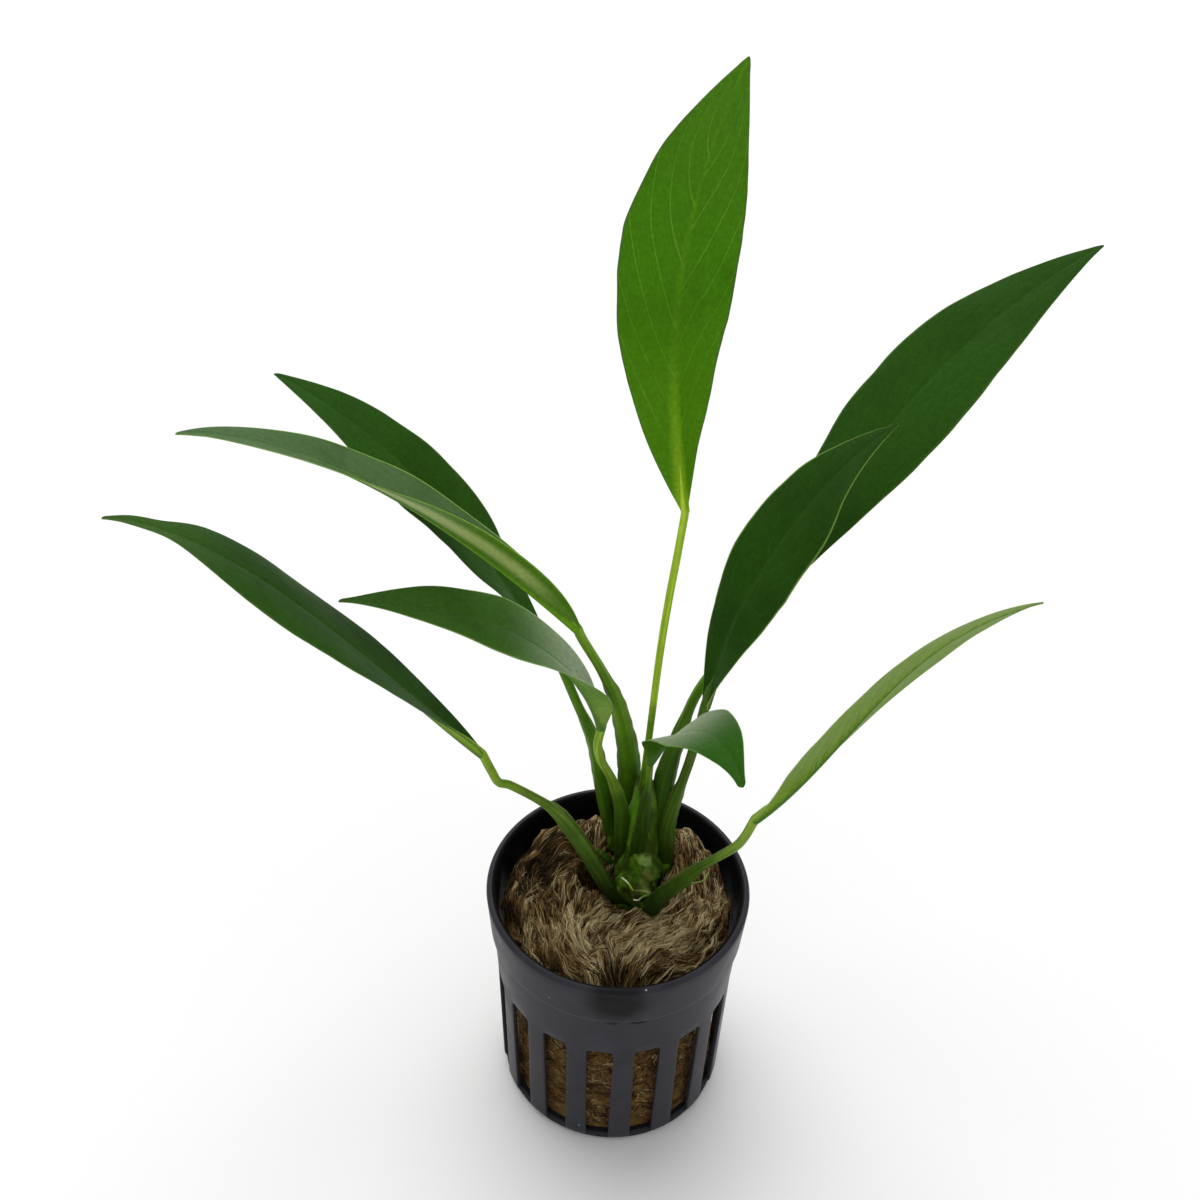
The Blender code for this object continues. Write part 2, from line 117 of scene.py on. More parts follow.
# Rock wool
WOOL_PROFILE = (
    (0.0, 48.5), (8.0, 49.3), (14.0, 49.4), (18.2, 48.6), (21.0, 46.8), (21.7, 44.0),
    (20.2, 33.0), (20.4, 20.0), (20.3, 8.0), (19.9, 3.2), (18.8, 1.7), (0.0, 1.6),
)
WOOL_SIDE_HEIGHTS = (2.0, 3.2, 8.0, 20.0, 33.0, 43.0)
WOOL_SIDE_RADII = (19.2, 19.9, 20.3, 20.4, 20.2, 21.4)
WAIST_HEIGHT = 24.0            # where the wool stands back from the wall at the left and right
WAIST_DEPTH = 2.1
WELL_CENTRE = (3.2, 4.6)       # the hollow round the crown
WELL_RADII = (8.6, 11.0)
WELL_DEPTH = 5.2
HOLE_CENTRE = (-4.6, 4.6)      # the dark hole beside the crown
HOLE_RADIUS = 3.6
HOLE_DEPTH = 7.0
NOTCH_LINE = ((-1.7, -11.7), (2.0, -20.6))  # where the strip's two ends meet, seen from above
NOTCH_WIDTH = 2.3
NOTCH_DEPTH = 7.0
# Where the wool stands up higher against the wall: place, reach and height
WOOL_BULGES = (
    ((13.0, 14.5), 4.6, 3.6), ((17.8, 9.8), 2.8, 2.6), ((-12.5, 12.5), 5.0, 3.4),
    ((-18.0, 5.5), 4.5, 2.6), ((-20.0, -3.0), 3.5, 1.4), ((-5.0, 18.0), 3.5, 1.6),
)
CROWN_CLEAR = (3.6, 4.6, 5.2, 7.4)  # x, y and half axes of the patch that the stalks fill
TOP_RADIUS = 21.0              # of the disc on which the locks start
TOP_EDGE = 21.6                # how far out their strands reach, about
LOCK_STRANDS = 16
GOLDEN_ANGLE = 2.39996         # radians; it spreads places evenly over a disc
MATTED_RADIUS = 20.8           # about that of the matted strands on the wool's side
STRAY_SHARE = 1 / 6            # of a lock's strands
DOME_HEIGHT = 49.2             # of the top's middle, before its lumps and hollows
DOME_RISE = 0.4                # from the middle to the ring round it
DOME_RING = 14.0               # radius of that ring
EDGE_START = 13.0              # radius from which the top drops towards the wall
EDGE_REACH = 8.0               # how much farther out it has dropped by EDGE_DROP
EDGE_DROP = 3.2

# How the wool is combed: a place on its top and the direction there, in degrees from +X towards +Y
WOOL_FLOW = (
    ((-19.7, -2.3), 102), ((-17.6, -8.7), 109), ((-15.4, 1.2), 51), ((-11.9, 6.2), 43),
    ((-13.4, -4.0), 108), ((-10.3, -5.4), 98), ((-7.2, -3.6), 102), ((-5.1, -7.9), 62),
    ((-2.7, -5.6), 46), ((-2.5, -10.5), 38), ((-5.3, -14.3), 118), ((-2.2, -15.9), 119),
    ((-11.7, -14.7), 120), ((-6.3, -17.9), 147), ((2.7, -9.7), 35), ((6.2, -8.1), 35), ((3.4, -13.7), 61),
    ((9.3, -11.5), 29), ((13.7, -10.1), 34), ((18.2, -5.4), 65), ((12.2, -3.9), 66), ((16.8, 4.2), 96),
    ((12.1, 1.9), 81), ((10.0, 6.4), 100), ((12.1, 14.0), 95), ((17.4, 13.1), 114), ((-4.6, 17.0), 68),
    ((-10.0, 13.2), 64), ((-15.3, 12.1), 70), ((-16.3, 5.9), 48), ((4.0, 19.0), 178),
)
# Where the wool is paler (+) or darker (-): place, reach and amount. The pale front patches are painted
# light.
# Painted shade darkens the notch, the hole and beside the crown, and, with a browner tone, the rims along the
# wall
WOOL_SHADES = (
    ((-6.5, -7.5), 4.6, 0.22), ((-2.5, -11.0), 4.4, 0.24), ((9.2, -9.0), 6.0, 0.42),
    ((13.0, 4.0), 6.0, -0.12), ((-18.0, 4.0), 7.0, -0.44), ((-12.0, 11.0), 7.0, -0.44),
    ((9.0, -17.8), 4.6, -0.44), ((15.0, -13.5), 4.0, -0.22), ((-10.0, -17.0), 5.0, -0.24),
    ((0.6, -17.0), 2.4, -0.65), ((-4.4, 3.8), 4.4, -0.42), ((8.0, 1.5), 3.0, -0.30),
    ((18.0, 9.0), 5.0, -0.26), ((5.0, -13.5), 3.4, 0.20), ((-18.0, -7.0), 5.0, -0.18),
)

# Crown
RHIZOME_PATH = ((3.2, -0.5, 45.2), (3.4, 3.0, 46.0), (3.6, 7.0, 47.0), (3.4, 11.0, 47.8), (3.0, 14.0, 48.2))
RHIZOME_RADII = (2.4, 3.6, 4.0, 3.8, 2.6)
# The young stem that stands up inside the sheaths
TRUNK_PATH = ((3.6, 5.6, 46.0), (3.8, 7.2, 51.5), (4.0, 8.8, 57.0), (4.1, 9.6, 63.0), (4.2, 10.2, 68.5),
              (4.2, 10.4, 71.5))
TRUNK_RADII = (4.0, 4.2, 3.6, 2.9, 2.2, 0.9)
# Old leaf scars and buds that stand out of the rhizome: centre, and half axes
SCARS = (
    ((4.6, 3.4, 56.2), (1.8, 1.1, 2.0)),
    ((5.8, 2.4, 53.4), (1.8, 1.4, 2.2)),
    ((4.2, 1.0, 49.6), (3.1, 2.4, 2.6)),
    ((1.6, 2.2, 50.0), (2.6, 2.0, 2.4)),
)

# Spots of other colour on the crown: centre, reach, flatness in height and colour
CROWN_MARKS = (
    ((1.6, 7.4, 66.5), 2.6, 2.2, "#5c9a16"),
    ((1.9, 6.4, 62.6), 2.2, 2.2, "#74b022"),
    ((2.2, 5.6, 58.4), 1.8, 2.0, "#6aa020"),
    ((6.4, 7.0, 64.5), 1.6, 2.4, "#3c7010"),
    ((6.2, 5.4, 60.5), 0.9, 2.6, "#5f8f3a"),
    ((5.0, 2.4, 56.9), 1.7, 1.4, "#8fae5c"),
    ((5.5, 0.8, 53.2), 2.2, 1.2, "#78863e"),
    ((2.6, 0.0, 51.2), 2.4, 1.0, "#343a12"),
    ((-0.5, -1.2, 50.3), 1.6, 0.7, "#2f6f52"),
    # The two darkest spots, beside low_right's stalk, are painted shade in the gap at the crown's foot
    ((4.6, -1.8, 50.4), 2.2, 0.8, "#1c160a"),
    ((7.4, 1.0, 50.8), 2.0, 1.0, "#1c1a08"),
)

# Roots at the crown and the stub of an old leaf: name, node, radius, colours at the start and end, points
ROOTS = (
    ("root_loop", "root_front", 0.2, "#5c7a2a", "#b59a7c",
     ((3.3, -2.0, 53.4), (4.6, -2.4, 53.9), (5.7, -2.6, 53.8), (6.7, -2.6, 52.9), (7.3, -2.6, 51.9))),
    ("root_arc", "root_front", 0.17, "#d9d6b8", "#6f8a3a",
     ((3.0, -3.0, 51.9), (3.9, -3.1, 52.0), (4.5, -3.2, 52.9), (5.2, -3.2, 53.5), (6.2, -3.0, 53.7))),
    ("root_curl", "root_front", 0.18, "#e6edc0", "#a3c83a",
     ((0.6, -1.0, 55.8), (1.2, -1.1, 55.2), (1.7, -1.3, 54.8), (2.2, -1.5, 54.2), (2.6, -1.6, 53.4),
      (3.0, -1.5, 52.8))),
    ("root_thin", "root_right", 0.17, "#3f6a1c", "#6f8f3c",
     ((12.6, 1.7, 50.0), (13.7, 1.2, 52.2), (15.0, 1.5, 52.5), (16.3, 2.0, 52.7), (17.3, 4.0, 52.8))),
    ("leaf_stub_piece", "leaf_stub", 0.7, "#274a08", "#3f5a14",
     ((-1.4, 8.0, 49.2), (-2.3, 8.2, 50.0), (-3.4, 8.6, 51.0), (-4.6, 9.0, 51.8))),
)


@dataclass
class Leaf:
    """One leaf, in millimetres and degrees, as the solids have it, with its colours.

    The midrib is a cubic through its base, its points at one third and two thirds, and its tip.
    Twist and fold are given at base, middle and tip.
    """

    name: str
    foot: tuple
    stalk: tuple
    rib: tuple
    half_width: float
    widest: float                  # share of the midrib where the blade is widest
    taper: tuple                   # power of the outline's sine at the base and the tip
    twist: tuple
    fold: tuple
    skew: float = 0.0              # share by which one half is wider
    flatness: float = 0.0          # share of the fold's height by which the midrib is raised
    pinch: float = 0.0             # how much the blade narrows before its tip
    tip_width: float = 0.42
    face: tuple = (0.0, 0.0, 1.0)  # roughly where the upper side faces
    stalk_radii: tuple = (1.4, 0.8)
    breadth: float = 1.5           # half breadth of the sheath at its foot
    sheath: float = 0.6            # share of the stalk that it takes
    wave: float = 0.28             # how far the margin waves, in millimetres
    upper: str = "#2a5210"
    deep: str = "#25490d"
    # The colour `near` the base is the leaf's own paler tone, but a painted grey sheen on small_left and
    # curled
    near: str = "#2c5512"
    near_end: float = 0.3          # where the colour `near` the base has faded
    tip: str = "#2f561a"
    vein: str = "#3a6220"
    veined: float = 0.4            # how strongly the veins show
    rim: str = "#4f7030"
    rib_colour: str = "#345f1b"
    rib_width: tuple = (0.85, 0.28)
    rib_fade: tuple = (0.25, 0.75)
    rib_end: float = 0.2           # how strongly the midrib still shows near the tip
    under: str = "#6b8a3a"
    under_edge: str = ""           # colour of the underside near its margin, where it differs
    under_near: str = ""           # the same near the base, where it isn't the stalk's
    under_vein: str = "#4f7f1a"
    stalk_tones: tuple = ("#22380a", "#2c480a", "#5f8c28")   # at its foot, middle and top
    stalk_change: tuple = (0.5, 0.95)   # shares of its length where the last two are reached
    seed: int = 0


LEAVES = (
    Leaf("tall", (3.4, 9.5, 50.0),
         ((3.5, 9.5, 66.0), (4.4, 9.3, 85.0), (5.2, 8.9, 103.0), (6.1, 8.6, 116.0), (6.9, 8.3, 125.0)),
         ((7.7, 8.0, 134.5), (5.0, 13.0, 158.0), (6.0, 16.0, 181.0), (12.0, 16.0, 204.0)),
         half_width=9.4, widest=0.535, taper=(0.76, 0.93), twist=(24, 22, -12), fold=(27, 15, 10),
         skew=0.05, flatness=0.25, tip_width=0.45, face=(0.0, -1.0, 0.3), stalk_radii=(1.1, 0.65),
         breadth=1.1, sheath=0.2, upper="#45800a", deep="#3a7004", near="#4f860a", near_end=0.6,
         tip="#4c7c18", vein="#74a632", veined=0.7, rib_colour="#8cb822", rib_width=(2.2, 0.4),
         rib_fade=(0.04, 0.36), rib_end=0.1, stalk_tones=("#22380a", "#5f8c0c", "#a2c634"),
         stalk_change=(0.42, 0.54), seed=11),
    Leaf("far_right", (6.6, 9.6, 50.0),
         ((6.9, 9.4, 55.5), (7.2, 9.9, 64.0), (8.0, 11.4, 71.7), (10.2, 13.4, 81.1), (12.9, 14.5, 90.4)),
         ((19.0, 17.0, 100.0), (35.0, 24.0, 126.0), (51.0, 32.0, 149.0), (72.0, 38.0, 169.0)),
         half_width=11.0, widest=0.53, taper=(0.95, 1.0), twist=(20, 0, -15), fold=(30, 16, 12),
         flatness=0.9, stalk_radii=(1.45, 0.95), breadth=2.1, sheath=0.6, tip="#284c12",
         stalk_tones=("#2a460b", "#3a5e0e", "#5a861c"), stalk_change=(0.45, 0.8), seed=12),
    Leaf("mid_right", (8.5, 8.0, 48.0),
         ((8.5, 8.2, 58.7), (9.3, 8.9, 64.2), (11.1, 9.9, 71.5), (12.3, 10.7, 77.0), (13.3, 11.1, 83.6)),
         ((14.0, 11.5, 89.0), (20.0, 14.0, 111.0), (29.0, 16.0, 131.0), (40.0, 14.0, 149.0)),
         half_width=7.9, widest=0.535, taper=(0.87, 1.0), twist=(-11, -21, -22), fold=(30, 13, 14),
         flatness=0.9, stalk_radii=(1.35, 0.9), breadth=1.75, sheath=0.5, upper="#274d0f", deep="#21430c",
         near="#274c0e", tip="#24460f", rib_colour="#2f551a", rim="#86a64a",
         stalk_tones=("#263e0a", "#486418", "#44601c"), stalk_change=(0.4, 0.75), seed=13),
    Leaf("upper_left", (-0.6, 12.6, 49.0),
         ((-2.1, 13.6, 55.3), (-4.1, 14.2, 65.9), (-6.1, 15.0, 75.8), (-9.5, 15.8, 85.1),
          (-12.5, 16.8, 92.9)),
         ((-14.0, 17.0, 96.0), (-28.0, 20.0, 115.0), (-42.0, 24.0, 131.0), (-61.0, 27.0, 145.0)),
         half_width=8.2, widest=0.5, taper=(0.9, 0.87), twist=(-17, -1, 11), fold=(31, 15, 12),
         flatness=0.5, stalk_radii=(1.2, 0.85), breadth=1.6, sheath=0.65,
         stalk_tones=("#33520f", "#4a7414", "#54801e"), stalk_change=(0.4, 0.9), seed=14),
    Leaf("small_left", (0.7, 7.2, 48.0),
         ((0.2, 7.4, 60.5), (-0.5, 7.9, 66.8), (-2.1, 8.5, 72.0), (-4.3, 8.8, 76.8), (-5.0, 8.9, 80.6)),
         ((-4.4, 9.0, 85.0), (-12.0, 7.0, 102.0), (-27.0, 4.0, 114.0), (-47.0, -2.0, 121.0)),
         half_width=7.3, widest=0.455, taper=(0.8, 1.13), twist=(-26, 0, 17), fold=(54, 8, 20),
         stalk_radii=(1.3, 0.85), breadth=1.35, sheath=0.6, upper="#477228", deep="#3d6620",
         # near: a painted grey sheen over the lower blade
         near="#9ba78c", near_end=0.6, vein="#4c7434", veined=0.2, rib_colour="#4c7434", tip="#456b2c",
         under="#648c3a", under_near="#86a44a", rim="#8fae62",
         stalk_tones=("#20350a", "#3f600f", "#88aa34"), stalk_change=(0.5, 0.8), seed=15),
    Leaf("long_left", (2.0, 14.5, 51.0),
         ((1.5, 14.2, 60.8), (0.5, 13.3, 75.2), (-0.6, 12.7, 82.3), (-2.0, 11.7, 89.5), (-4.8, 9.9, 98.2),
          (-8.1, 7.6, 107.0)),
         ((-9.0, 7.0, 110.0), (-29.0, 9.0, 127.0), (-50.0, 9.0, 140.0), (-70.0, 2.0, 149.0)),
         half_width=9.1, widest=0.5, taper=(0.72, 0.96), twist=(-45, -24, -8), fold=(55, 17, 12),
         # Greyish upper colours hold a painted sheen; the pale underside is partly its own tone, partly a
         # painted highlight
         stalk_radii=(1.4, 0.85), breadth=2.1, sheath=0.72, upper="#476436", deep="#3c572b",
         near="#42622c", tip="#4d6a42", vein="#66845a", veined=0.3, rib_colour="#74a820", under="#a2b568",
         under_edge="#4f7c1b", under_near="#4a7616", under_vein="#6a9030", rim="#8fb84a",
         stalk_tones=("#33520c", "#4a7210", "#7ba62a"), stalk_change=(0.4, 0.95), seed=16),
    Leaf("curled", (3.2, 4.8, 53.0),
         ((3.4, 4.4, 59.0), (3.9, 4.5, 64.0), (4.2, 4.6, 69.0), (4.55, 4.8, 73.5)),
         ((4.7, 5.1, 80.6), (8.5, -1.5, 93.1), (13.7, -10.6, 103.6), (18.5, -23.8, 105.8)),
         half_width=6.0, widest=0.48, taper=(0.87, 0.96), twist=(17, -10, -34), fold=(51, 13, 16),
         flatness=0.3, tip_width=0.75, stalk_radii=(1.0, 0.62), breadth=1.2, sheath=0.7, upper="#2d5814",
         # near: a painted grey sheen over the crest
         deep="#28500f", near="#949e82", near_end=0.84, tip="#2c5a12", vein="#3f6230", veined=0.15,
         rib_colour="#44682f", under="#2f520c", under_near="#3a620e", rim="#6f9a40",
         stalk_tones=("#243a0a", "#2f4c0c", "#5a7e20"), stalk_change=(0.68, 0.84), seed=17),
    Leaf("low_right", (6.5, -2.6, 47.3),
         ((7.9, -4.7, 54.9), (11.1, -9.1, 65.3), (14.0, -13.4, 74.5), (16.8, -17.6, 82.5),
          (18.9, -20.7, 88.6), (20.0, -22.3, 93.0)),
         ((21.0, -24.0, 99.0), (30.0, -31.0, 123.0), (38.0, -37.0, 145.0), (48.0, -47.0, 164.0)),
         half_width=8.5, widest=0.539, taper=(1.35, 0.87), twist=(21, 12, 20), fold=(20, 1, 2),
         skew=-0.02, wave=0.05, stalk_radii=(1.45, 0.75), breadth=1.8, sheath=0.5, upper="#4f7f2c",
         deep="#3f6f1e", near="#5a8a30", tip="#80994a", vein="#3a6a14", under="#6d8b29",
         under_vein="#3c6a10", veined=1.0, rib_colour="#356614", rib_end=0.8, rim="#8fae5a",
         stalk_tones=("#20360a", "#3d5a14", "#7f9e32"), stalk_change=(0.58, 0.9), seed=18),
    Leaf("low_left", (1.5, 0.5, 46.5),
         ((-1.9, -0.6, 52.1), (-5.5, -1.6, 61.8), (-9.2, -2.9, 70.9), (-13.1, -3.9, 77.6),
          (-19.3, -5.2, 83.6), (-21.5, -6.0, 85.2), (-22.6, -6.6, 88.4)),
         ((-24.0, -7.5, 93.5), (-42.0, -7.0, 113.0), (-60.5, -7.0, 131.0), (-78.0, -12.0, 143.0)),
         half_width=8.8, widest=0.51, taper=(0.8, 1.16), twist=(-19, -16, -1), fold=(32, -1, 20),
         pinch=0.35, stalk_radii=(1.4, 0.75), breadth=1.6, sheath=0.6, upper="#2d5214", deep="#284a12",
         near="#274812", tip="#406226", rib_colour="#3f6524", vein="#3a5c28", veined=0.3,
         stalk_tones=("#1c2c07", "#4a6720", "#7a9c28"), stalk_change=(0.5, 0.95), seed=19),
)

SHEATH_START = 0.6             # shares of the sheath's length where its taper starts and ends
SHEATH_END = 1.15
LYING_LEAN = 20.0              # a stalk that reaches farther to the side than this is a lying one
LYING_EDGES = 52.0             # degrees from the side that faces the crown to a sheath's edges
UPRIGHT_EDGES = 84.0
LYING_WING = 2.2               # how many times wider a lying stalk's edges stand out
SHEATH_CHANNEL = 0.22          # depth of the channel between the edges, as a share of the section
SHEATH_KEEL = 0.10             # height of the keel behind them, as a share too
ROUNDED_FOLD = 0.28            # share of the half width over which the fold is rounded
BULGE = 0.03                   # how far each half of a blade bulges, as a share of its width
PINCH_PLACE = 0.87             # share of the midrib at which a blade with a pinch is narrowest
PINCH_REACH = 0.07
ROW_CROWDING = 0.55            # how much closer a blade's rows stand towards its tip
VEIN_SLANT = 0.24              # share of the midrib's length by which a side vein runs on to the margin
VEIN_CURVE = 0.10              # the share by which it curves on beyond that
VEIN_GROOVE = 0.09             # half width of its groove, as a share of the distance between veins
SKIN_VOXEL = 0.28              # size of the cubes that join the crown's shapes into one skin

# Sizes of patterns, in repeats a metre: 1000 is one a millimetre. The pot's grain and the leaves' pores are
# finer than a render shows, so they are drawn coarser than they are.
MOULD_GRAIN = 2600.0
POT_SCUFFS = 130.0
POT_DUST = 230.0
MATTED_FIBRES = 1100.0
COMBED_FIBRES = 420.0
STALK_PATCHES = 260.0
LEAF_CLOUDS = 95.0
LEAF_PORES = 1500.0
MARK_EDGES = 420.0
SKIN_BLOTCHES = 380.0
SKIN_CORK = 620.0

SMOOTH = {"interpolation_type": "SMOOTHSTEP"}


def colour(code):
    """An sRGB hex code as a linear colour with alpha."""
    values = [int(code[i:i + 2], 16) / 255 for i in (1, 3, 5)]
    return (*(v / 12.92 if v <= 0.04045 else ((v + 0.055) / 1.055) ** 2.4 for v in values), 1.0)


def tint(name, description, code):
    """A colour property whose default is an sRGB hex code."""
    return bpy.props.FloatVectorProperty(name=name, description=description, subtype="COLOR", size=4,
                                         min=0.0, max=1.0, default=colour(code))


def number(name, description, default, **options):
    """A number property that isn't negative."""
    return bpy.props.FloatProperty(name=name, description=description, min=0.0, default=default, **options)


def length(name, description, millimetres):
    """A length property in metres whose default is given in millimetres."""
    return number(name, description, millimetres * MM, subtype="DISTANCE", unit="LENGTH", precision=5)


class StageSettings(bpy.types.PropertyGroup):
    floor: tint("Floor", "Colour of the floor", "#f6f6f6")
    surround: number("Surround", "Brightness of the white surroundings", 0.6)
    key: number("Key light", "Strength of the wide soft light behind and above", 1.9)
    key_angle: number("Key size", "How wide the key light looks from the plant", math.radians(60.0),
                      subtype="ANGLE", unit="ROTATION")


class PotSettings(bpy.types.PropertyGroup):
    plastic: tint("Plastic", "Colour of the moulded pot", "#313035")
    rubbed: tint("Rubbed plastic", "Colour where the pot has been rubbed", "#3a393f")
    # Painted highlight: a light line along the crease's rounded edge
    highlit: tint("Worn edge", "Colour of the crease's worn edge", "#5c5b62")
    # Painted shade: near black on the inner wall above the wool, for the shade inside the pot
    inside: tint("Inside", "Colour of the damp inner wall above the wool", "#0f0e0f")
    # Painted shade: a dark line under the crease
    dirt: tint("Dirt", "Colour of the dirt under the crease", "#0c0b0b")
    dust: tint("Dust", "Colour of the dust specks", "#b9b9b4")
    edge: length("Edge rounding", "How far the slots' edges are rounded off", EDGE_ROUND)


class WoolSettings(bpy.types.PropertyGroup):
    shadow: tint("Shadow", "Colour deep between the fibres", "#171003")
    middle: tint("Middle", "Colour of most fibres", "#7c5d2f")
    pale: tint("Pale", "Colour of the palest fibres", "#d6c698")
    strand_length: length("Strand length", "Length of a lock of fibres", 7.5)
    strand_width: length("Strand width", "Width of a strand of fibres", 0.23)
    locks: bpy.props.IntProperty(name="Locks", description="Locks of fibres in each quarter of the top's",
                                 min=4, max=410, default=400)


class CrownSettings(bpy.types.PropertyGroup):
    skin: tint("Skin", "Colour of the rhizome", "#394d10")
    young: tint("Young skin", "Colour of its youngest parts", "#5e8a22")
    cork: tint("Cork", "Colour of its dry brown parts", "#3c3416")


class StalkSettings(bpy.types.PropertyGroup):
    torn_edge: tint("Torn edge", "Colour of the sheaths' dry edges", "#7c5c3e")
    wing: length("Wing", "How far the sheath's edges stand out", 0.3)


class LeafSettings(bpy.types.PropertyGroup):
    thickness: length("Thickness", "Thickness of a blade", 0.34)
    vein_spacing: length("Vein spacing", "Distance between side veins along the midrib", 9.0)
    vein_depth: length("Vein depth", "How deep the side veins are pressed in", 0.022)
    roughness: number("Roughness", "Roughness of the waxy skin", 0.52, max=1.0)
    gloss: number("Gloss", "How strongly the waxy skin reflects", 0.052, max=1.0)


def settings(name):
    """The scene's settings of one group."""
    return getattr(bpy.context.scene, "anubias_" + name)


def rows_of(count, columns, wrap=False):
    """Four-sided faces between neighbouring points of a grid, as arrays of point numbers."""
    index = np.arange(count * columns).reshape(count, columns)
    if wrap:
        index = np.hstack([index, index[:, :1]])
    return np.stack([index[:-1, :-1], index[:-1, 1:], index[1:, 1:], index[1:, :-1]], -1).reshape(-1, 4)


def closed_tube(grid):
    """Points and faces of a grid of rings whose two ends are closed by a fan to their middle."""
    rings, around = grid.shape[:2]
    points = np.vstack([grid.reshape(-1, 3), grid[0].mean(0), grid[-1].mean(0)])
    ring = np.arange(around)
    turned = np.roll(ring, -1)
    last = (rings - 1) * around
    start_fan = np.stack([turned, ring, np.full(around, len(points) - 2)], -1)
    end_fan = np.stack([last + ring, last + turned, np.full(around, len(points) - 1)], -1)
    return points, rows_of(rings, around, wrap=True), np.vstack([start_fan, end_fan])


def new_mesh(name, points, quads, triangles=None, fields=None):
    """A mesh from points in millimetres and faces given as arrays of point numbers.

    `fields` are numbers for each point, kept as attributes.
    """
    triangles = np.zeros((0, 3), int) if triangles is None else np.asarray(triangles)
    quads = np.asarray(quads).reshape(-1, 4)
    corners = np.concatenate([quads.ravel(), triangles.ravel()]).astype(np.int32)
    sizes = np.concatenate([np.full(len(quads), 4), np.full(len(triangles), 3)])
    starts = np.concatenate([[0], np.cumsum(sizes)[:-1]]).astype(np.int32)
    mesh = bpy.data.meshes.new(name)
    mesh.vertices.add(len(points))
    mesh.vertices.foreach_set("co", (np.asarray(points) * MM).astype(np.float32).ravel())
    mesh.loops.add(len(corners))
    mesh.loops.foreach_set("vertex_index", corners)
    mesh.polygons.add(len(sizes))
    mesh.polygons.foreach_set("loop_start", starts)
    mesh.update(calc_edges=True)
    mesh.validate()
    for key, values in (fields or {}).items():
        attribute = mesh.attributes.new(key, "FLOAT", "POINT")
        attribute.data.foreach_set("value", np.asarray(values, np.float32).ravel())
    mesh.shade_smooth()
    return mesh


def face_outwards(mesh, join=False):
    """Turns the faces of a closed mesh so that they all point out.

    With `join`, unused points are dropped and points that meet are made one first.
    """
    shape = bmesh.new()
    shape.from_mesh(mesh)
    if join:
        bmesh.ops.delete(shape, geom=[v for v in shape.verts if not v.link_faces], context="VERTS")
        bmesh.ops.remove_doubles(shape, verts=shape.verts, dist=0.000001)
    bmesh.ops.recalc_face_normals(shape, faces=shape.faces)
    shape.to_mesh(mesh)
    shape.free()


def add_piece(name, mesh, materials, node):
    """Puts a finished mesh into the scene as a piece that stands for one of the solids."""
    for material in materials:
        mesh.materials.append(material)
    obj = bpy.data.objects.new(name, mesh)
    bpy.context.scene.collection.objects.link(obj)
    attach(obj, "root")
    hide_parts(node)
    return obj


def ripple(points, size, seed, waves=14):
    """Smooth noise, mostly from -1 to 1: a sum of sine waves of about one length in random directions."""
    rng = np.random.default_rng(seed)
    directions = rng.normal(size=(waves, np.shape(points)[-1]))
    directions /= np.linalg.norm(directions, axis=1)[:, None]
    lengths = size * rng.uniform(0.65, 1.5, waves)
    phases = rng.uniform(0.0, 2 * np.pi, waves)
    total = np.sin(np.asarray(points) @ (directions * 2 * np.pi / lengths[:, None]).T + phases).sum(-1)
    return total / math.sqrt(waves)


def round_axis(radius, angle, height):
    """Points round the pot's axis, at an angle from the front: (radius sin, -radius cos, height)."""
    return np.stack(np.broadcast_arrays(radius * np.sin(angle), -radius * np.cos(angle), height), -1)


def smoothstep(value, low, high):
    """A rise from 0 at `low` to 1 at `high`: with q the share of the way, 3 q^2 - 2 q^3."""
    share = np.clip((np.asarray(value, float) - low) / (high - low), 0.0, 1.0)
    return share * share * (3 - 2 * share)


def unit(vectors):
    """Vectors with their length made 1."""
    return vectors / np.linalg.norm(vectors, axis=-1, keepdims=True)


def smooth_path(points, count):
    """Evenly numbered points on a Catmull-Rom curve through the given ones."""
    knots = np.array(points, float)
    knots = np.vstack([2 * knots[0] - knots[1], knots, 2 * knots[-1] - knots[-2]])
    place = np.linspace(0.0, len(points) - 1, count)
    i = np.minimum(place.astype(int), len(points) - 2)
    t = (place - i)[:, None]
    a, b, c, d = knots[i], knots[i + 1], knots[i + 2], knots[i + 3]
    return 0.5 * (2 * b + (c - a) * t + (2 * a - 5 * b + 4 * c - d) * t**2 + (3 * b - a - 3 * c + d) * t**3)


def evened(path, count):
    """Points evenly spaced along a path, read from it by its length."""
    steps = np.linalg.norm(np.diff(path, axis=0), axis=1)
    run = np.concatenate([[0.0], np.cumsum(steps)])
    places = np.linspace(0.0, run[-1], count)
    return np.stack([np.interp(places, run, path[:, i]) for i in range(3)], -1)


def fill(tree, node, ordered, named):
    """Fills a node's sockets in their order, and by name with an underscore for a space.

    Each takes a value, a hex code or the output that feeds it.
    """
    sockets = [socket for socket in node.inputs if socket.enabled]
    chosen = list(zip(sockets, ordered))
    for key, value in named.items():
        chosen.append((next(s for s in sockets if s.name == key.replace("_", " ")), value))
    for socket, value in chosen:
        if isinstance(value, bpy.types.NodeSocket):
            tree.links.new(value, socket)
        else:
            socket.default_value = colour(value) if isinstance(value, str) else value


